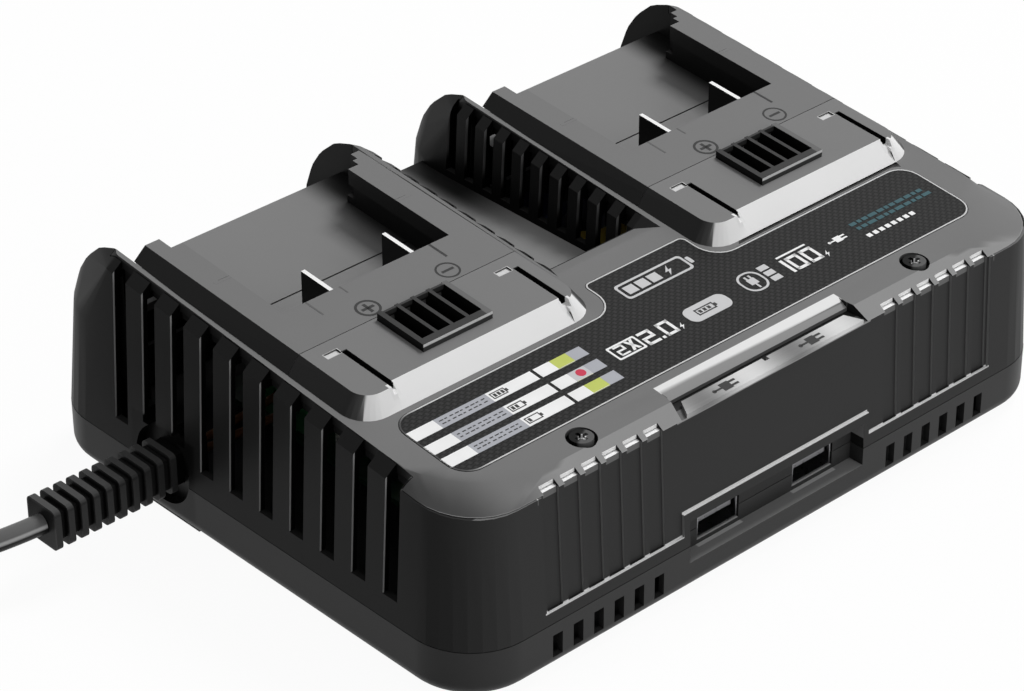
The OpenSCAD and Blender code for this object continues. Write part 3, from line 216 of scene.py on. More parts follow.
class Faces:
    """The masks that tell the faces of a moulded shell apart by their direction and place.

    x, y and z are in mm, with y from the body's front edge. width is the distance from the middle plane;
    depth, front_depth and valley_depth are distances in from the leaning walls; bay is the signed distance
    from the middle of the nearer bay; border and deck are heights above the two sloping planes.
    """

    def __init__(self, m):
        self.m = m
        self.obj, normal = m.coords()
        self.nx, self.ny, self.nz = m.xyz(normal)
        x, y, z = m.xyz(self.obj)
        self.x = m.math("MULTIPLY", x, TO_MM)
        self.y = m.math("ADD", m.math("MULTIPLY", y, TO_MM), BODY_D / 2)
        self.z = m.math("MULTIPLY", z, TO_MM)
        self.to_front = m.math("MULTIPLY", self.ny, -1.0)
        self.to_side = m.math("ABSOLUTE", self.nx)
        level = m.math("ADD", m.math("ADD", self.to_side, m.math("ABSOLUTE", self.ny)), 0.001)
        self.turn = m.math("DIVIDE", self.to_front, level)
        self.width = m.math("ABSOLUTE", self.x)
        lean = m.math("MULTIPLY_ADD", self.z, WALL_LEAN, WALL_START)
        self.depth = m.math("SUBTRACT", m.math("SUBTRACT", HALF_W, lean), self.width)
        self.front_depth = m.math("SUBTRACT", self.y, lean)
        self.valley_depth = m.math("SUBTRACT", self.width, m.math("ADD", lean, VALLEY_HALF))
        self.bay = m.math("SUBTRACT", self.x, m.math("MULTIPLY", m.math("SIGN", self.x), BAY_X))
        self.border = self.over(BORDER_H, BORDER_TILT)
        self.deck = self.over(DECK_H, DECK_TILT)
        self.on_deck = self.above(self.border, 2.2, 0.3)

    def over(self, h, tilt):
        """Height above a sloping plane."""
        return self.m.math("SUBTRACT", self.z, self.m.math("MULTIPLY_ADD", self.y, math.tan(tilt), h))

    def above(self, value, edge, soft=0.04):
        return self.m.ramp(value, (edge - soft, edge + soft, 0.0, 1.0))

    def below(self, value, edge, soft=0.04):
        return self.m.ramp(value, (edge - soft, edge + soft, 1.0, 0.0))

    def span(self, value, low, high, soft=0.04):
        return self.all(self.above(value, low, soft), self.below(value, high, soft))

    def all(self, *masks):
        out = masks[0]
        for k in masks[1:]:
            out = self.m.math("MULTIPLY", out, k)
        return out

    def over_flute(self):
        """The stretches of the front over the flutes: six on each side."""
        place = self.m.math("MULTIPLY", self.m.math("SUBTRACT", self.width, FLUTE_X), 1 / FLUTE_PITCH)
        place = self.m.math("FRACT", place)
        return self.all(self.span(place, 0.03, 0.71, 0.02), self.span(self.width, 38.0, 80.0, 0.1))

    def relief_pocket(self):
        """The part of the left wall round the strain relief."""
        return self.all(self.below(self.x, -98.0), self.span(self.y, 100.5, 125.5, 1.0))


def shell(name, tones, rules=None, rough=0.45, spec=0.12, lift=(0.5, 0.9)):
    """Moulded plastic with light and shade painted into its colour by direction: tones are the display values of
    faces that look up, sideways, to the front and to the back, painted lighter or darker for how light falls on
    each. rules gives (mask, display value) pairs laid on top, many of them painted highlights and shades."""
    m = Mat(name)
    f = Faces(m)
    top, side, front, back = (grey(v) for v in tones)
    low = m.mix(m.ramp(f.ny, (0.3, 0.8, 0.0, 1.0)), side, back)
    low = m.mix(m.ramp(f.turn, (0.12, 0.9, 0.0, 1.0)), low, front)
    color = m.mix(m.ramp(f.nz, (*lift, 0.0, 1.0)), low, top)
    for mask, value in rules(f) if rules else ():
        color = m.mix(mask, color, grey(value))
    slow, fine = m.noise(f.obj, 30.0), m.noise(f.obj, 7000.0, 2.0)
    cloud = m.t.nodes.new("ShaderNodeVectorMath")
    cloud.operation = "SCALE"
    m.link(color, cloud.inputs[0])
    m.link(m.math("ADD", m.math("MULTIPLY", slow, 0.08), 0.96), cloud.inputs["Scale"])
    m.set(Base_Color=cloud.outputs[0])
    m.roughen(slow, rough - 0.05, 0.1)
    m.set(Specular_IOR_Level=spec)
    m.bump(fine, 0.06)
    return m.m


def metal(name, color, rough=0.25, brushed=None):
    """Bare or plated metal, brushed where brushed gives the grain's scale along each axis."""
    m = Mat(name)
    obj, _ = m.coords()
    if brushed:
        n = m.noise(m.stretch(obj, brushed), 1.0, rough=0.6)
    else:
        n = m.noise(obj, 900.0, rough=0.6)
    m.set(Base_Color=m.mix(n, [c * 0.72 for c in color], color), Metallic=1.0)
    m.roughen(n, rough - 0.1, 0.2)
    m.bump(n, 0.08)
    return m.m


def legend_metal():
    """Brushed plate with two soft pale zones of painted highlight, one over each socket sign."""
    zone_pitch = 0.032
    m = Mat("legend_brushed_painted_sheen")
    obj, _ = m.coords()
    x, _, _ = m.xyz(obj)
    grain = m.noise(m.stretch(obj, (60.0, 4000.0, 4000.0)), 1.0, rough=0.6)
    wave = m.math("SINE", m.math("MULTIPLY_ADD", x, 2 * math.pi / zone_pitch, math.pi))
    tone = m.math("MULTIPLY_ADD", wave, 0.5, 0.5)
    tone = m.math("ADD", m.math("MULTIPLY", tone, 0.85), m.math("MULTIPLY", grain, 0.15))
    m.set(Base_Color=m.mix(tone, grey(112), grey(226)), Metallic=0.35, Specular_IOR_Level=0.2)
    m.roughen(grain, 0.35, 0.2)
    m.bump(grain, 0.08)
    return m.m


def rubber(name, color, rough):
    """Soft dull rubber with a fine, slightly uneven grain."""
    m = Mat(name)
    obj, _ = m.coords()
    slow, fine = m.noise(obj, 60.0, 4.0), m.noise(obj, 5000.0)
    m.set(Base_Color=m.mix(slow, [c * 0.7 for c in color], [c * 1.2 for c in color]), Specular_IOR_Level=0.15)
    m.roughen(slow, rough - 0.07, 0.14)
    m.bump(fine, 0.12)
    return m.m


def weave(name, dark, light, pitch):
    """A glossy twill weave, as printed under a clear film."""
    m = Mat(name)
    obj, _ = m.coords()
    x, y, _ = m.xyz(obj)
    u, v = (m.math("MULTIPLY", k, 1.0 / pitch) for k in (x, y))
    diag = m.math("FRACT", m.math("MULTIPLY", m.math("ADD", m.math("FLOOR", u), m.math("FLOOR", v)), 0.5))
    warp = m.math("GREATER_THAN", diag, 0.25)
    fu, fv = (m.math("PINGPONG", m.math("FRACT", k), 0.5) for k in (u, v))
    shade = m.math("ADD", m.math("MULTIPLY", warp, fu), m.math("MULTIPLY", m.math("SUBTRACT", 1.0, warp), fv))
    tone = m.math("ADD", m.math("MULTIPLY", shade, 1.1), m.math("MULTIPLY", warp, 0.45), clamp=True)
    m.set(Base_Color=m.mix(tone, dark, light))
    m.roughen(tone, 0.35, 0.12)
    m.set(Coat_Weight=0.08, Coat_Roughness=0.2, Specular_IOR_Level=0.1)
    m.bump(shade, 0.1, GRAIN_DEPTH / 2)
    return m.m


def board_mat(name):
    """Green solder mask with slightly paler tracks under it."""
    m = Mat(name)
    obj, _ = m.coords()
    tracks = m.math("GREATER_THAN", m.noise(obj, 160.0, 1.0), 0.55)
    m.set(Base_Color=m.mix(tracks, (0.003, 0.02, 0.008), (0.007, 0.035, 0.014)))
    m.roughen(m.noise(obj, 500.0, 2.0), 0.3, 0.1)
    return m.m


def glow(name, color, strength, base):
    """A clear or tinted plastic that gives a little light of its own."""
    m = Mat(name)
    obj, _ = m.coords()
    n = m.noise(obj, 1500.0, 2.0)
    m.set(Base_Color=m.mix(n, [c * 0.85 for c in base], base))
    m.roughen(n, 0.25, 0.1)
    m.b.inputs["Emission Color"].default_value = (*color, 1.0)
    m.b.inputs["Emission Strength"].default_value = strength
    return m.m


def cord_skin():
    """Smooth soft plastic with painted light: paler where it looks up, with a painted highlight band along each
    flank.
    """
    m = Mat("cord_skin")
    obj, normal = m.coords()
    _, _, nz = m.xyz(normal)
    up = m.ramp(nz, (-0.05, 0.2, 0.0, 1.0))
    edge = m.math("MULTIPLY", up, m.ramp(nz, (0.3, 0.5, 1.0, 0.0)))
    m.set(Base_Color=m.mix(edge, m.mix(up, grey(8), grey(100)), grey(176)))
    m.roughen(m.noise(obj, 60.0), 0.4, 0.1)
    m.set(Specular_IOR_Level=0.2)
    return m.m


def relief_skin():
    """The ribbed relief: dark grey ribs painted paler where they look up, with painted shade, black, between them.
    """
    rib_edge = (0.0048, 0.0056)
    m = Mat("relief_skin")
    obj, normal = m.coords()
    _, y, z = m.xyz(obj)
    _, _, nz = m.xyz(normal)
    dy = m.math("ABSOLUTE", m.math("SUBTRACT", y, row_y(RELIEF_Y)))
    dz = m.math("ABSOLUTE", m.math("SUBTRACT", z, RELIEF_Z * MM))
    rib = m.ramp(m.math("MAXIMUM", dy, dz), (*rib_edge, 0.0, 1.0))
    tone = m.mix(m.ramp(nz, (0.3, 0.8, 0.0, 1.0)), grey(44), grey(72))
    m.set(Base_Color=m.mix(rib, grey(3), tone))
    m.roughen(m.noise(obj, 60.0), 0.45, 0.1)
    m.set(Specular_IOR_Level=0.15)
    return m.m


def screw_head():
    """Black screw heads with painted light: paler towards the right front, each with a soft painted highlight
    spot.
    """
    m = Mat("screw_head")
    obj, _ = m.coords()
    x, y, _ = m.xyz(obj)
    dx = m.math("SUBTRACT", m.math("ABSOLUTE", x), BAY_X * MM)
    dx = m.math("MULTIPLY", dx, m.math("SIGN", x))
    dy = m.math("SUBTRACT", y, row_y(SCREW_Y))
    slope = m.math("SUBTRACT", m.math("MULTIPLY", dx, 0.5), m.math("MULTIPLY", dy, 0.87))
    highlight_spot = m.math("ADD", m.math("POWER", m.math("SUBTRACT", dx, 0.0001), 2.0),
                  m.math("POWER", m.math("SUBTRACT", dy, -0.0001), 2.0))
    tone = m.mix(m.ramp(slope, (-0.0005, 0.0005, 0.0, 1.0)), grey(8), grey(88))
    m.set(Base_Color=m.mix(m.ramp(highlight_spot, (8e-7, 1.1e-6, 1.0, 0.0)), tone, grey(215)))
    m.roughen(m.noise(obj, 900.0, 2.0), 0.4, 0.1)
    m.set(Specular_IOR_Level=0.1)
    return m.m


def flat_print(name, color, rough=0.35):
    """Ink of one colour, a little uneven."""
    m = Mat(name)
    obj, _ = m.coords()
    m.set(Base_Color=m.mix(m.noise(obj, 120.0, 2.0), [c * 0.86 for c in color], color))
    m.roughen(m.noise(obj, 2500.0, 2.0), rough - 0.03, 0.06)
    return m.m


def rim_print():
    """The pale line round the label, which fades out at its left end."""
    fade = (-0.089, -0.08)
    m = Mat("print_rim")
    obj, _ = m.coords()
    x, _, _ = m.xyz(obj)
    m.set(Base_Color=m.mix(m.ramp(x, (*fade, 0.0, 1.0)), grey(50), grey(205)))
    m.roughen(m.noise(obj, 2500.0, 2.0), 0.35, 0.1)
    return m.m


# ------------------------------------------------------------------ faces of the shells

def cover_rules(f):
    yield f.all(f.on_deck, f.above(f.nz, 0.9)), 122
    # painted highlight on the front bevels of the deck blocks
    yield f.all(f.above(f.to_front, 0.6, 0.06), f.above(f.nz, 0.42, 0.06)), 240
    # behind the legend plate, a line of painted shade and then a painted highlight on the notch's bevel
    for front, back, value in ((8.3, 10.3, 6), (10.4, 13.3, 232)):
        yield f.all(f.below(f.width, 31.6, 0.1), f.span(f.y, front, back, 0.1), f.above(f.nz, 0.3)), value
    # the chamfer gets painted light along the front and painted shade at its left corner
    yield f.all(f.below(f.y, 12.0, 1.5), f.span(f.nz, 0.6, 0.93, 0.02), f.above(f.x, -78.0, 10.0),
                f.above(f.to_front, 0.3)), 144
    yield f.all(f.below(f.x, -91.0, 8.0), f.above(f.nz, 0.5), f.below(f.nz, 0.975, 0.03),
                f.below(f.border, 0.4, 0.1), f.below(f.y, 30.0, 12.0)), 66
    # a fine painted highlight line along the lower edge of the chamfer
    yield f.all(f.below(f.over(BORDER_H - CHAMFER_H, BORDER_TILT), 0.22, 0.06), f.above(f.turn, 0.3, 0.15),
                f.above(f.nz, 0.5), f.below(f.y, 30.0)), 168
    # painted highlight on the back walls of the notches over the flutes
    yield f.all(f.above(f.to_front, 0.9), f.below(f.y, 6.0, 0.5), f.above(f.z, 50.5, 0.1), f.over_flute()), 252
    # the grooves end in a painted highlight on the bevel; behind it their floors get painted shade
    for left, right in ((-27.2, -24.0), (28.7, 31.9)):
        yield f.all(f.span(f.bay, left, right, 0.1), f.below(f.y, BEVEL_END), f.on_deck), 235
    for left, right in ((-26.6, -24.6), (29.3, 31.3)):
        yield f.all(f.span(f.bay, left, right, 0.1), f.below(f.y, 65.9, 0.1), f.below(f.deck, -0.25, 0.1),
                    f.above(f.y, BEVEL_END)), 8
    # painted shade in the screws' recesses
    yield f.all(f.span(f.y, 6.2, 14.2, 0.02), f.span(f.bay, -4.1, 4.1, 0.02), f.above(f.z, 46.0),
                f.below(f.border, -1.2, 0.1)), 8
    # pale squares beside the grooves
    for left, right in ((-30.9, -26.3), (24.4, 29.0)):
        yield f.all(f.span(f.bay, left, right, 0.1), f.span(f.y, 64.9, 67.1, 0.1), f.above(f.nz, 0.6),
                    f.on_deck), 215


def housing_rules(f):
    facing, fluted = f.above(f.to_front, 0.8), f.over_flute()
    # the slots' walls that look to the front get painted shade, black, with a thin painted highlight line at the
    # outer surface
    inner = f.all(f.above(f.to_front, 0.9), f.above(f.y, 12.0, 0.5))
    yield inner, 3
    yield f.all(inner, f.span(f.depth, -1.0, 0.5, 0.08)), 150
    yield f.all(inner, f.span(f.valley_depth, -1.0, 0.9, 0.08), f.above(f.z, 50.0, 3.0)), 96
    # the flutes' sides, painted lighter to lift the shade that falls in them
    yield f.all(f.above(f.to_side, 0.5), f.below(f.y, 9.0), f.above(f.z, 17.5), f.below(f.width, 79.0)), 116
    # painted highlights on the ledges' upper faces on the front, and a thin painted highlight strip along each
    # ledge
    yield f.all(f.above(f.nz, 0.3), f.below(f.front_depth, 0.74, 0.03), f.span(f.z, 15.5, 27.0, 0.3)), 245
    yield f.all(facing, f.below(f.y, 5.2, 0.2), f.span(f.z, 17.9, 18.4, 0.05), f.span(f.width, 33.0, 79.0, 0.1),
                f.below(f.front_depth, 0.95, 0.1)), 225
    yield f.all(facing, f.below(f.y, 5.2, 0.2), f.span(f.z, 24.2, 24.8, 0.05), f.below(f.width, 33.0, 0.1)), 225
    # the rim over the front wall, with painted highlights, brightest over the flutes
    rim = f.all(f.above(f.nz, 0.6), f.below(f.y, 6.0, 0.2), f.above(f.z, 49.0, 0.3))
    yield rim, 110
    yield f.all(rim, fluted), 245
    yield f.all(facing, f.below(f.y, 6.0, 0.2), f.above(f.z, 48.9, 0.05), fluted), 108
    yield f.all(facing, f.below(f.y, 6.0, 0.2), f.above(f.z, 49.95, 0.05), f.below(f.width, 34.0)), 150
    # strips of the border on the fins
    yield f.all(f.above(f.nz, 0.9), f.above(f.y, 20.0), f.above(f.border, -1.0, 0.2)), 104
    # the valley's floor: painted lighter on its right half against the shadow there, with a painted shadow towards
    # the back there
    floor = f.all(f.above(f.nz, 0.6), f.span(f.z, 40.5, 44.5, 0.2))
    yield f.all(floor, f.above(f.y, 58.0)), 112
    yield f.all(floor, f.above(f.y, 58.0), f.above(f.x, 1.0, 9.0)), 160
    yield f.all(floor, f.above(f.y, 115.0, 15.0), f.above(f.x, 5.0, 5.0)), 30
    # painted shade on the fins beside the valley, darker downwards
    yield f.all(f.above(f.to_side, 0.6), f.below(f.width, 22.0), f.above(f.y, 50.0), f.above(f.z, 40.5),
                f.below(f.z, 51.0, 5.0)), 3
    # painted shade on the housing's wall round the strain relief
    yield f.all(f.relief_pocket(), f.below(f.z, 27.5, 0.5)), 8


def base_rules(f):
    # the floor before the sockets, painted lighter to lift its shade, with a fine painted highlight edge under
    # each
    sill = f.below(f.z, 11.0, 0.2)
    yield f.all(f.above(f.nz, 0.3), f.below(f.y, 9.0, 0.1), sill, f.below(f.width, 32.0, 0.2)), 140
    yield f.all(f.above(f.nz, 0.6), f.span(f.y, 3.3, 5.2, 0.1), sill, f.span(f.width, 9.0, 24.6, 0.2)), 200
    # painted shade on the base's wall round the strain relief
    yield f.all(f.relief_pocket(), f.above(f.z, 4.5, 0.5)), 10


def tray_rules(f):
    sunk = f.below(f.deck, -4.0, 0.5)
    yield f.all(f.on_deck, f.above(f.nz, 0.9)), 118
    yield f.all(f.above(f.nz, 0.9), sunk), 126
    # painted shadow: the floor darkens into its corner by the right rail
    yield f.all(f.above(f.bay, 27.5, 5.0), sunk), 10


def signal_rules(f):
    # a painted highlight on the front edge, the right end of the top paler, and painted shade in the slots
    yield f.all(f.above(f.to_front, 0.5), f.above(f.deck, 1.2, 0.1), f.below(f.y, 53.6)), 225
    yield f.all(f.above(f.nz, 0.6), f.above(f.bay, 9.4, 0.2)), 104
    yield f.all(f.below(f.deck, 0.6, 0.3), f.above(f.y, 54.0)), 5


# ------------------------------------------------------------------ the CAD nodes

WELD = 2e-6
SHARP_ANGLE = math.radians(27)


def soften_tree():
    """Smooth shading across shallow edges, with the steep ones kept sharp."""
    t = bpy.data.node_groups.new("soften", "GeometryNodeTree")
    for way in ("INPUT", "OUTPUT"):
        t.interface.new_socket("Geometry", in_out=way, socket_type="NodeSocketGeometry")
    start, end = t.nodes.new("NodeGroupInput"), t.nodes.new("NodeGroupOutput")
    drop = t.nodes.new("GeometryNodeRemoveAttribute")
    drop.inputs["Name"].default_value = "custom_normal"
    weld = t.nodes.new("GeometryNodeMergeByDistance")
    weld.inputs["Distance"].default_value = WELD
    faces = t.nodes.new("GeometryNodeSetShadeSmooth")
    faces.domain = "FACE"
    edges = t.nodes.new("GeometryNodeSetShadeSmooth")
    edges.domain = "EDGE"
    edges.inputs["Shade Smooth"].default_value = False
    angle = t.nodes.new("GeometryNodeInputMeshEdgeAngle")
    steep = t.nodes.new("FunctionNodeCompare")
    steep.operation = "GREATER_THAN"
    steep.inputs[1].default_value = SHARP_ANGLE
    t.links.new(angle.outputs["Unsigned Angle"], steep.inputs[0])
    t.links.new(steep.outputs[0], edges.inputs["Selection"])
    out = start.outputs[0]
    for n in (drop, weld, faces, edges):
        t.links.new(out, n.inputs["Geometry"])
        out = n.outputs["Geometry"]
    t.links.new(out, end.inputs[0])
    return t


SOFTEN = soften_tree()


def soften(node):
    mod = NODES[node].modifiers.new("soften", "NODES")
    mod.node_group = SOFTEN
    flat = NODES[node].modifiers.new("flat_faces", "WEIGHTED_NORMAL")
    flat.mode = "FACE_AREA"
    flat.weight = 90
    flat.keep_sharp = True


def dress(node, mat):
    """One material on every face of a CAD node."""
    mesh = NODES[node].data
    mesh.materials.clear()
    mesh.materials.append(mat)
    for p in mesh.polygons:
        p.material_index = 0


# each shell's four tones paint light and shade by direction: faces that look up lighter, sideways faces darker
COVER = shell("cover_grey", (117, 24, 98, 60), cover_rules, 0.42, lift=(0.86, 0.95))
TRAY = shell("tray_grey", (118, 10, 70, 60), tray_rules, lift=(0.8, 0.95))
HOUSING = shell("housing_black", (44, 25, 54, 30), housing_rules, 0.42, 0.06, lift=(0.9, 0.97))
BASE = shell("base_black", (50, 42, 56, 40), base_rules, 0.42)
SIGNAL = shell("signal_black", (56, 8, 58, 120), signal_rules, 0.4)
HOLDER = shell("holder_grey", (114, 6, 40, 40))
# the blades: a painted highlight, near white, on their tops and painted shade, near black, on their sides
BLADE = shell("contact_painted_light", (248, 4, 30, 200), rough=0.3, spec=0.1)
SPRING = metal("spring_plated", (0.12, 0.11, 0.1), 0.35)
SOCKET = metal("socket_plated", (0.3, 0.3, 0.31), 0.3)
BOARD = board_mat("board_green")
CORD_RUBBER = rubber("cord_rubber", grey(18), 0.5)

for node, mat in {
    "base_cover": BASE, "main_housing": HOUSING, "top_cover": COVER,
    "left_bay_tray": TRAY, "right_bay_tray": TRAY,
    "left_terminal_holder": HOLDER, "right_terminal_holder": HOLDER,
    "left_power_blades": BLADE, "right_power_blades": BLADE,
    "left_signal_block": SIGNAL, "right_signal_block": SIGNAL,
    "left_signal_contacts": SPRING, "right_signal_contacts": SPRING,
    "label_plate": weave("label_weave", grey(0), grey(50), 1.1e-3),
    "usb_legend_plate": legend_metal(),
    "light_pipes": glow("light_pipe", (0.7, 0.7, 0.4), 0.05, (0.75, 0.75, 0.6)),
    "status_leds": glow("led", (0.9, 0.1, 0.05), 0.2, (0.8, 0.3, 0.2)),
    "left_usb_socket": SOCKET, "right_usb_socket": SOCKET,
    "indicator_board": BOARD, "usb_board": BOARD, "main_board": BOARD,
    "mains_terminal": plastic("terminal_green", (0.02, 0.15, 0.05), 0.4),
    "transformers": plastic("winding_tape", (0.55, 0.4, 0.05), 0.45),
    "capacitors": plastic("capacitor_sleeve", (0.01, 0.012, 0.04), 0.3),
    "heat_sinks": metal("heat_sink", (0.55, 0.56, 0.58), 0.4, (4000.0, 60.0, 4000.0)),
    "fuse": plastic("fuse_ceramic", (0.7, 0.7, 0.66), 0.25),
    "mains_wires": plastic("wire_brown", (0.16, 0.06, 0.02), 0.45),
    "fan_frame": plastic("insulator_black", (0.006, 0.006, 0.006), 0.5, 0.1),
    "fan_rotor": plastic("rotor_black", (0.012, 0.012, 0.013), 0.4),
    "strain_relief": relief_skin(),
    "cord_lead": CORD_RUBBER, "cord_coil": CORD_RUBBER, "mains_plug": CORD_RUBBER,
    "coil_tie": rubber("tie_black", (0.02, 0.02, 0.02), 0.6),
    "plug_pins": metal("pin_plated", (0.8, 0.76, 0.62)),
    "top_screws": screw_head(),
    "base_screws": metal("screw_black", (0.06, 0.06, 0.065), 0.35),
    "board_screws": metal("board_screw", (0.6, 0.6, 0.62), 0.3),
    "rubber_feet": rubber("foot_rubber", (0.02, 0.02, 0.02), 0.7),
}.items():
    dress(node, mat)

for node in ("main_housing", "top_cover", "base_cover", "left_bay_tray", "right_bay_tray"):
    soften(node)


# ------------------------------------------------------------------ cord

CORD_D = 5.4
# the lead's way from the relief to the coil, as in the CAD
ROUTE = [
    (-141.7, 113.0, 16.4), (-147, 113.4, 16.4), (-152.5, 114.4, 16.1), (-158.5, 116.5, 15.1), (-165, 119.4, 12.8),
    (-171.5, 123, 9.5), (-178, 127, 6), (-184.5, 131.2, 3.8), (-190, 135, 2.8)
]
COIL_X, COIL_Y, COIL_START = -173.7, 166.8, math.radians(236.0)
# radius and height of each turn's middle line
TURNS = [(35.4, 2.8), (35.4, 8.2), (35.4, 13.6), (30.0, 13.6), (30.0, 8.2), (30.0, 2.8),
         (24.6, 2.8), (24.6, 8.2), (24.6, 13.6)]
TURN_STEPS = 24
# the cord keeps to its turn for the first part of it, and goes over to the next one in the rest
STAY, SHIFT = 0.72, 0.28


def rounded(points, parts=2):
    """Points on a smooth curve through the given ones."""
    ends = [points[0]] + list(points) + [points[-1]]
    out = []
    for a, b, c, d in zip(ends, ends[1:], ends[2:], ends[3:]):
        for i in range(parts):
            t = i / parts
            out.append(tuple(0.5 * (2 * q + (r - p) * t + (2 * p - 5 * q + 4 * r - s) * t * t
                                    + (3 * q - p - 3 * r + s) * t ** 3) for p, q, r, s in zip(a, b, c, d)))
    return out + [tuple(points[-1])]


def cord_path():
    """The lead, then nine turns of a neat coil."""
    pts = [P(*p) for p in rounded(ROUTE)]
    for i, (r, z) in enumerate(TURNS):
        next_r, next_z = TURNS[min(i + 1, len(TURNS) - 1)]
        for k in range(TURN_STEPS):
            f = k / TURN_STEPS
            s = 0.0 if f < STAY else (f - STAY) / SHIFT
            s = s * s * (3 - 2 * s)
            a = COIL_START - 2 * math.pi * (i + f)
            radius, height = r + (next_r - r) * s, z + (next_z - z) * s
            pts.append(P(COIL_X + radius * math.cos(a), COIL_Y + radius * math.sin(a), height))
    return pts


def make_cord():
    pts = cord_path()
    cu = bpy.data.curves.new("cord", "CURVE")
    cu.dimensions = "3D"
    cu.bevel_depth = CORD_D / 2 * MM
    cu.bevel_resolution = 5
    cu.use_fill_caps = True
    sp = cu.splines.new("POLY")
    sp.points.add(len(pts) - 1)
    for p, q in zip(sp.points, pts):
        p.co = (*q, 1.0)
    sp.use_smooth = True
    o = add("cord", cu)
    cu.materials.append(cord_skin())
    length = sum((a - b).length for a, b in zip(pts, pts[1:]))
    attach(o, "housing")
    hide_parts("cord_lead", "cord_coil")
    tuple(pts[0])


# ------------------------------------------------------------------ thin prints and their outlines

def rect(x0, x1, y0, y1):
    return [(x0, y0), (x1, y0), (x1, y1), (x0, y1)]


def disc_outline(cx, cy, r, n=24):
    return [(cx + r * math.cos(2 * math.pi * i / n), cy + r * math.sin(2 * math.pi * i / n)) for i in range(n)]


def arc(cx, cy, r, a0, a1, n=8):
    """Points on a part of a circle, from angle a0 to a1 in degrees."""
    angles = [math.radians(a0 + (a1 - a0) * i / n) for i in range(n + 1)]
    return [(cx + r * math.cos(a), cy + r * math.sin(a)) for a in angles]


def pill_outline(x0, x1, y0, y1, r, n=8):
    """A rectangle with corners rounded by r."""
    pts = []
    for cx, cy, a0 in ((x1 - r, y0 + r, -90), (x1 - r, y1 - r, 0), (x0 + r, y1 - r, 90), (x0 + r, y0 + r, 180)):
        pts += arc(cx, cy, r, a0, a0 + 90, n)
    return pts


def label_outline(grow):
    """The label plate's own outline, as in the CAD, moved outwards by grow."""
    left, right, front, back = -90.3 - grow, 89.2 + grow, 16 - grow, 42.3 + grow
    tab_left, tab_right, tab_back = -15.8 - grow, 19.1 + grow, 54.3 + grow
    r, q, f = 6 + grow, 2 + grow, 7 - grow
    return (arc(left + r, front + r, r, 180, 270) + arc(right - r, front + r, r, 270, 360)
            + arc(right - r, back - r, r, 0, 90) + arc(tab_right + f, back + f, f, 270, 180)
            + arc(tab_right - q, tab_back - q, q, 0, 90) + arc(tab_left + q, tab_back - q, q, 90, 180)
            + arc(tab_left - f, back + f, f, 0, -90) + arc(left + r, back - r, r, 90, 180))


def on_plane(x, y, lift, h, tilt):
    """A plan point carried onto a sloping plane, raised by lift."""
    return P(x, y - lift * math.sin(tilt), h + y * math.tan(tilt) + lift * math.cos(tilt))


def printed(name, shapes, mat, slot, lift=0.03, thick=0.05, h=BORDER_H, tilt=BORDER_TILT, rings=()):
    """Flat prints: each shape is a plan outline, each ring an outer and an inner outline."""
    verts, faces = [], []

    def put(pts):
        base = len(verts)
        for level in (lift, lift + thick):
            verts.extend(on_plane(x, y, level, h, tilt) for x, y in pts)
        return base

    for pts in shapes:
        n, b = len(pts), put(pts)
        faces.append(tuple(range(b + n, b + 2 * n)))
        faces.append(tuple(range(b + n - 1, b - 1, -1)))
        faces.extend((b + i, b + (i + 1) % n, b + n + (i + 1) % n, b + n + i) for i in range(n))
    for outer, inner in rings:
        n = len(outer)
        b, c = put(outer), put(inner)
        for i in range(n):
            j = (i + 1) % n
            faces.append((b + n + i, b + n + j, c + n + j, c + n + i))
            faces.append((b + j, b + i, c + i, c + j))
            faces.append((b + i, b + j, b + n + j, b + n + i))
            faces.append((c + j, c + i, c + n + i, c + n + j))
    me = bpy.data.meshes.new(name)
    me.from_pydata([tuple(v) for v in verts], [], faces)
    me.update()
    o = add(name, me)
    me.materials.append(mat)
    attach(o, "housing")


# ------------------------------------------------------------------ label print

BAR_ROWS = (34.6, 28.3, 22.5)
BAR_HALF = 1.9
WINDOW_X = (-44.1, -38.7)
OVER_INK = dict(lift=0.09, thick=0.03)
SEGMENTS = {"0": "abcdef", "1": "bc", "2": "abged"}


def digit(ch, x, y, w, h, t):
    """A squared numeral, w wide and h high, made of bars t thick."""
    m = y + h / 2
    bars = {
        "a": rect(x, x + w, y + h - t, y + h), "d": rect(x, x + w, y, y + t),
        "g": rect(x, x + w, m - t / 2, m + t / 2), "b": rect(x + w - t, x + w, m, y + h),
        "c": rect(x + w - t, x + w, y, m), "e": rect(x, x + t, y, m), "f": rect(x, x + t, m, y + h),
    }
    return [bars[k] for k in SEGMENTS[ch]]


def bolt(x, y, s):
    """A lightning bolt, s high, from its lower left."""
    return [[(x + a * s, y + b * s) for a, b in
             ((0.10, 0.0), (0.62, 0.56), (0.36, 0.56), (0.55, 1.0), (0.02, 0.44), (0.28, 0.44))]]


def plug_sign(x, y, s):
    """A plug with two prongs and a lead, s long."""
    return [rect(x + 0.30 * s, x + 0.66 * s, y - 0.17 * s, y + 0.17 * s),
            rect(x + 0.66 * s, x + 0.92 * s, y + 0.05 * s, y + 0.13 * s),
            rect(x + 0.66 * s, x + 0.92 * s, y - 0.13 * s, y - 0.05 * s),
            rect(x, x + 0.30 * s, y - 0.035 * s, y + 0.035 * s),
            disc_outline(x, y, 0.07 * s, 12)]


def bar_dashes(i, y):
    """Two rows of dashes, in place of a bar's text."""
    out = []
    for row in (-0.75, 0.45):
        for k in range(9):
            x = -80.6 + 1.66 * k
            out.append(rect(x, x + (1.25, 0.8, 1.1)[(k + i) % 3], y + row, y + row + 0.34))
    return out


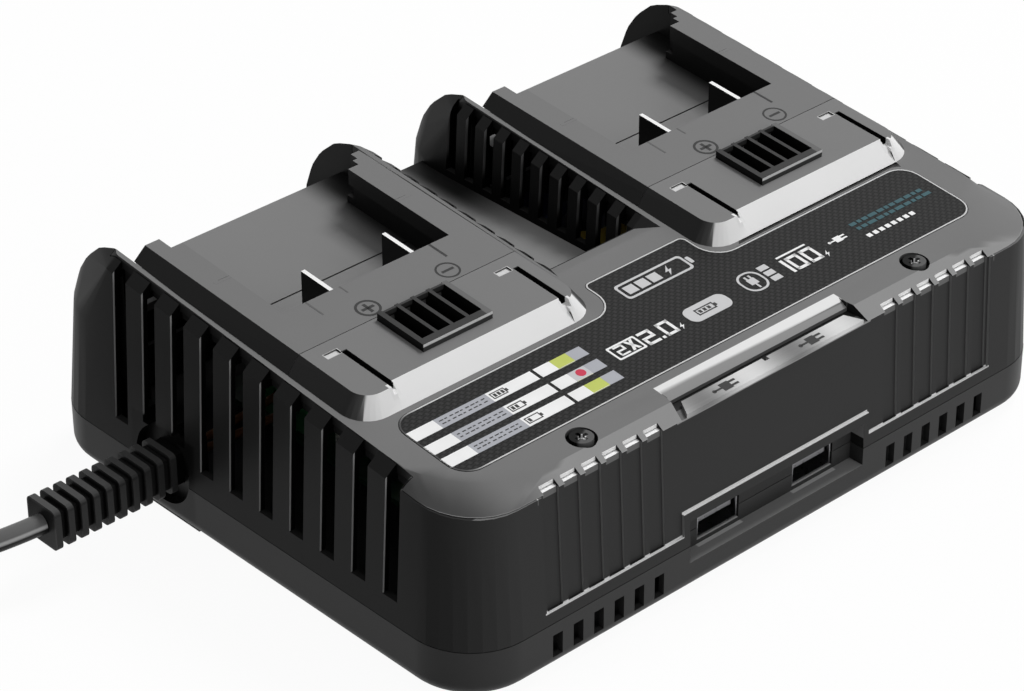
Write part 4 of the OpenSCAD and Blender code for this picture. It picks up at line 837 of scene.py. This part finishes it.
def level_sign(y, level):
    """A small battery, filled with level cells."""
    out = [rect(-64.4, -59.9, y - 1.15, y - 0.85), rect(-64.4, -59.9, y + 0.85, y + 1.15),
           rect(-64.4, -64.1, y - 1.15, y + 1.15), rect(-60.2, -59.9, y - 1.15, y + 1.15),
           rect(-59.9, -59.3, y - 0.5, y + 0.5)]
    return out + [rect(-63.7 + 1.2 * k, -62.9 + 1.2 * k, y - 0.6, y + 0.6) for k in range(level)]


def make_bars(white, black):
    """The three indicator bars, each with tinted fields, a window and its marks."""
    tint = flat_print("print_grey", (0.42, 0.43, 0.47))
    lime = flat_print("window_lime", (0.55, 0.62, 0.12), 0.3)
    pale = flat_print("window_pale", (0.6, 0.6, 0.62), 0.3)
    red = flat_print("window_red", (0.62, 0.02, 0.07), 0.3)
    windows = (("window_back", lime), ("window_middle", pale), ("window_front", lime))
    fields, tints, marks = [], [], []
    for i, (y, (name, mat)) in enumerate(zip(BAR_ROWS, windows)):
        low, high = y - BAR_HALF, y + BAR_HALF
        fields += [rect(x0, x1, low, high) for x0, x1 in ((-90.1, -81.5), (-65.0, -50.4), (-49.4, WINDOW_X[0]))]
        tints += [rect(x0, x1, low, high) for x0, x1 in ((-81.5, -65.0), (WINDOW_X[1], -34.1))]
        marks += bar_dashes(i, y)
        printed(name, [rect(*WINDOW_X, low, high)], mat, "light_pipe", lift=0.02, thick=0.04)
    for y, level in zip(BAR_ROWS, (3, 2, 1)):
        marks += level_sign(y, level)
    printed("window_dot", [disc_outline(-41.0, 28.5, 1.35)], red, "light_pipe", lift=0.065, thick=0.03)
    printed("bar_fields", fields, white, "label")
    printed("bar_tints", tints, tint, "label")
    printed("bar_marks", marks, black, "label", **OVER_INK)


def make_numbers(white):
    """Plain numbers: 2X in a frame, then 2.0 and a bolt; to the right 100 under a bar, and a bolt."""
    nums = digit("2", -28.4, 27.0, 3.0, 3.9, 0.6)
    nums += [[(-24.6, 27.0), (-23.7, 27.0), (-21.9, 30.9), (-22.8, 30.9)],
             [(-22.8, 27.0), (-21.9, 27.0), (-23.7, 30.9), (-24.6, 30.9)]]
    nums += digit("2", -19.9, 25.9, 4.0, 5.5, 0.9) + [rect(-15.2, -14.3, 25.9, 26.8)]
    nums += digit("0", -13.6, 25.9, 4.0, 5.5, 0.9)
    nums += digit("1", 27.6, 25.6, 4.0, 5.8, 0.95) + digit("0", 32.4, 25.6, 4.2, 5.8, 0.95)
    nums += digit("0", 37.5, 25.6, 4.2, 5.8, 0.95)
    nums.append(rect(31.0, 41.5, 32.3, 32.9))
    nums += bolt(-8.9, 25.7, 2.6) + bolt(42.5, 25.0, 2.6)
    printed("rating_numbers", nums, white, "label")
    box = (pill_outline(-30.0, -20.7, 26.0, 31.6, 0.5, 3), pill_outline(-29.4, -21.3, 26.6, 31.0, 0.3, 3))
    printed("rating_box", [], white, "label", rings=[box])


def make_signs(white, silver, black):
    # a battery where the photograph has a picture
    case = (pill_outline(-10.6, 12.4, 42.6, 49.0, 1.2), pill_outline(-9.9, 11.7, 43.3, 48.3, 0.9))
    cells = [rect(-8.9 + 4.1 * k, -5.6 + 4.1 * k, 44.2, 47.4) for k in range(3)]
    cells += [pill_outline(12.8, 14.0, 44.4, 47.2, 0.4)] + bolt(4.6, 43.8, 4.0)
    printed("battery_sign", cells, silver, "label", rings=[case])

    # a cell on a pale field
    printed("cell_field", [pill_outline(-4.9, 9.4, 25.4, 31.4, 2.4)], silver, "label")
    cell = [rect(-1.6, 4.6, 27.2, 27.6), rect(-1.6, 4.6, 29.3, 29.7), rect(-1.6, -1.2, 27.2, 29.7),
            rect(4.2, 4.6, 27.2, 29.7), rect(4.6, 5.3, 27.9, 29.0)]
    cell += [rect(-0.7 + 1.5 * k, 0.2 + 1.5 * k, 27.9, 29.0) for k in range(3)]
    printed("cell_sign", cell, black, "label", **OVER_INK)

    # a plug in a ring, with three filled cells beside it
    ring = (pill_outline(15.6, 23.0, 25.3, 33.4, 3.2), pill_outline(16.2, 22.4, 25.9, 32.8, 2.7))
    plug = [rect(18.0, 20.6, 28.2, 30.6), rect(18.3, 18.9, 30.6, 31.9), rect(19.7, 20.3, 30.6, 31.9),
            rect(19.0, 19.6, 26.4, 28.2)]
    plug += [rect(23.9, 27.0, 26.0 + 2.5 * k, 27.9 + 2.5 * k) for k in range(3)]
    printed("plug_sign", plug, silver, "label", rings=[ring])
    printed("lead_sign", plug_sign(47.0, 29.0, 6.4), white, "label")


def make_scale(white):
    """Two rows of teal dashes, with a pale line of dots before them."""
    teal = flat_print("print_teal", (0.012, 0.078, 0.096))
    start, last, end, gap = 57.0, 84.5, 85.4, 0.55
    dashes = []
    for row, y in enumerate((30.6, 28.4)):
        x, k = start + row * 0.4, 0
        while x < last:
            w = (2.2, 1.3, 1.8, 2.9)[(k + row) % 4]
            dashes.append(rect(x, min(x + w, end), y, y + 1.2))
            x += w + gap
            k += 1
    printed("scale_dashes", dashes, teal, "label")
    printed("scale_dots", [rect(57.2 + 2.3 * k, 58.7 + 2.3 * k, 24.5, 25.9) for k in range(8)], white, "label")


def make_label():
    white = flat_print("print_white", (0.95, 0.95, 0.95))
    silver = flat_print("print_silver", (0.62, 0.62, 0.63))
    black = flat_print("print_black", (0.01, 0.01, 0.01))
    printed("label_rim", [], rim_print(), "label", rings=[(label_outline(-0.1), label_outline(-0.5))])
    make_bars(white, black)
    make_numbers(white)
    make_signs(white, silver, black)
    make_scale(white)


# ------------------------------------------------------------------ other prints and small pieces

ON_DECK = dict(h=DECK_H, tilt=DECK_TILT)


def make_legend():
    black = flat_print("legend_black", (0.012, 0.012, 0.012), 0.4)
    signs = plug_sign(-19.5, 4.6, 8.2) + plug_sign(10.6, 4.6, 8.2)
    printed("legend_signs", signs, black, "legend", h=BORDER_H - CHAMFER_H + LEGEND_H, lift=0.02, thick=0.04)


def make_polarity_marks():
    """A plus and a minus sign in rings beside the blades, and the holders' end lines."""
    ink = flat_print("mark_dark", grey(22), 0.5)
    faint = flat_print("mark_faint", grey(84), 0.5)
    thin = dict(lift=0.01, thick=0.03, **ON_DECK)
    y, arm = 75.0, 1.9
    front, back = 79.6, 86.2
    for side, cx in BAYS:
        plus, minus = cx - 9.6, cx + 16.4
        bars = [rect(plus - arm, plus + arm, y - 0.45, y + 0.45), rect(plus - 0.45, plus + 0.45, y - arm, y + arm),
                rect(minus - arm, minus + arm, y - 0.4, y + 0.4)]
        rings = [(disc_outline(plus, y, 3.4), disc_outline(plus, y, 2.7)),
                 (disc_outline(minus, y, 3.3), disc_outline(minus, y, 2.75))]
        printed(side + "_polarity", bars, ink, "tray", rings=rings, **thin)
        printed(side + "_holder_line", [rect(cx + 19.9, cx + 20.6, front, back)], ink, "tray", **thin)
        marks = [rect(cx - 20.1, cx - 19.6, front, back), rect(cx - 9.3, cx - 8.9, 83.0, back)]
        printed(side + "_holder_mark", marks, faint, "tray", **thin)


def make_small_parts():
    """The back rims of the signal blocks, and the cover of the floor seam on the rails."""
    rim_half, rail_in, rail_out = 11.1, 26.97, 32.0
    seam = (105.6, 106.6)
    for side, cx in BAYS:
        printed(side + "_signal_rim", [rect(cx - rim_half, cx + rim_half, 69.0, 69.7)], SIGNAL, "insulator",
                lift=0.1, thick=1.85, **ON_DECK)
        strips = [rect(cx - rail_out, cx - rail_in, *seam), rect(cx + rail_in, cx + rail_out, *seam)]
        printed(side + "_seam_cover", strips, TRAY, "tray", lift=-4.3, thick=4.32, **ON_DECK)


make_cord()
make_label()
make_legend()
make_polarity_marks()
make_small_parts()


# ------------------------------------------------------------------ stage and light

WHITE = (1, 1, 1, 1)
FLOOR_WHITE = 0.95
AMBIENT = 0.28


def seen_directly(tree):
    """One for camera, transmission and glossy rays, so that metal and glass show the white too."""
    rays = tree.nodes.new("ShaderNodeLightPath").outputs
    out = rays["Is Camera Ray"]
    for kind in ("Is Transmission Ray", "Is Glossy Ray"):
        n = tree.nodes.new("ShaderNodeMath")
        n.operation = "MAXIMUM"
        tree.links.new(out, n.inputs[0])
        tree.links.new(rays[kind], n.inputs[1])
        out = n.outputs[0]
    return out


def make_floor():
    """A matt floor that looks white to the camera and still takes a trace of shadow."""
    m = Mat("floor")
    m.set(Base_Color=(0.9, 0.9, 0.9), Roughness=0.8, Specular_IOR_Level=0.0)
    em = m.t.nodes.new("ShaderNodeEmission")
    em.inputs["Color"].default_value = WHITE
    em.inputs["Strength"].default_value = 1.0
    mixer = m.t.nodes.new("ShaderNodeMixShader")
    m.link(m.math("MULTIPLY", seen_directly(m.t), FLOOR_WHITE), mixer.inputs[0])
    m.link(m.b.outputs[0], mixer.inputs[1])
    m.link(em.outputs[0], mixer.inputs[2])
    m.link(mixer.outputs[0], m.t.nodes["Material Output"].inputs["Surface"])
    me = bpy.data.meshes.new("floor")
    s = 6.0
    me.from_pydata([(-s, -s, 0), (s, -s, 0), (s, s, 0), (-s, s, 0)], [], [(0, 1, 2, 3)])
    o = add("floor", me)
    me.materials.append(m.m)


def make_world():
    """White where it is seen, dim as a light."""
    w = bpy.data.worlds.new("studio")
    bpy.context.scene.world = w
    w.use_nodes = True
    t = w.node_tree
    bg = t.nodes["Background"]
    power = t.nodes.new("ShaderNodeMapRange")
    t.links.new(seen_directly(t), power.inputs[0])
    power.inputs[3].default_value = AMBIENT
    power.inputs[4].default_value = 1.0
    t.links.new(power.outputs[0], bg.inputs["Strength"])
    bg.inputs["Color"].default_value = WHITE


def area(name, place, target, size, power):
    light = bpy.data.lights.new(name, "AREA")
    light.energy = power
    light.size = size
    o = add(name, light)
    o.location = place
    o.rotation_euler = (Vector(target) - Vector(place)).to_track_quat("-Z", "Y").to_euler()
    o.visible_glossy = False


make_floor()
make_world()
area("key", (1.55, 0.2, 2.55), (0, 0, 0.05), 1.0, 60.0)
area("front", (0.1, -1.2, 0.8), (0, 0, 0.04), 0.7, 3.6)
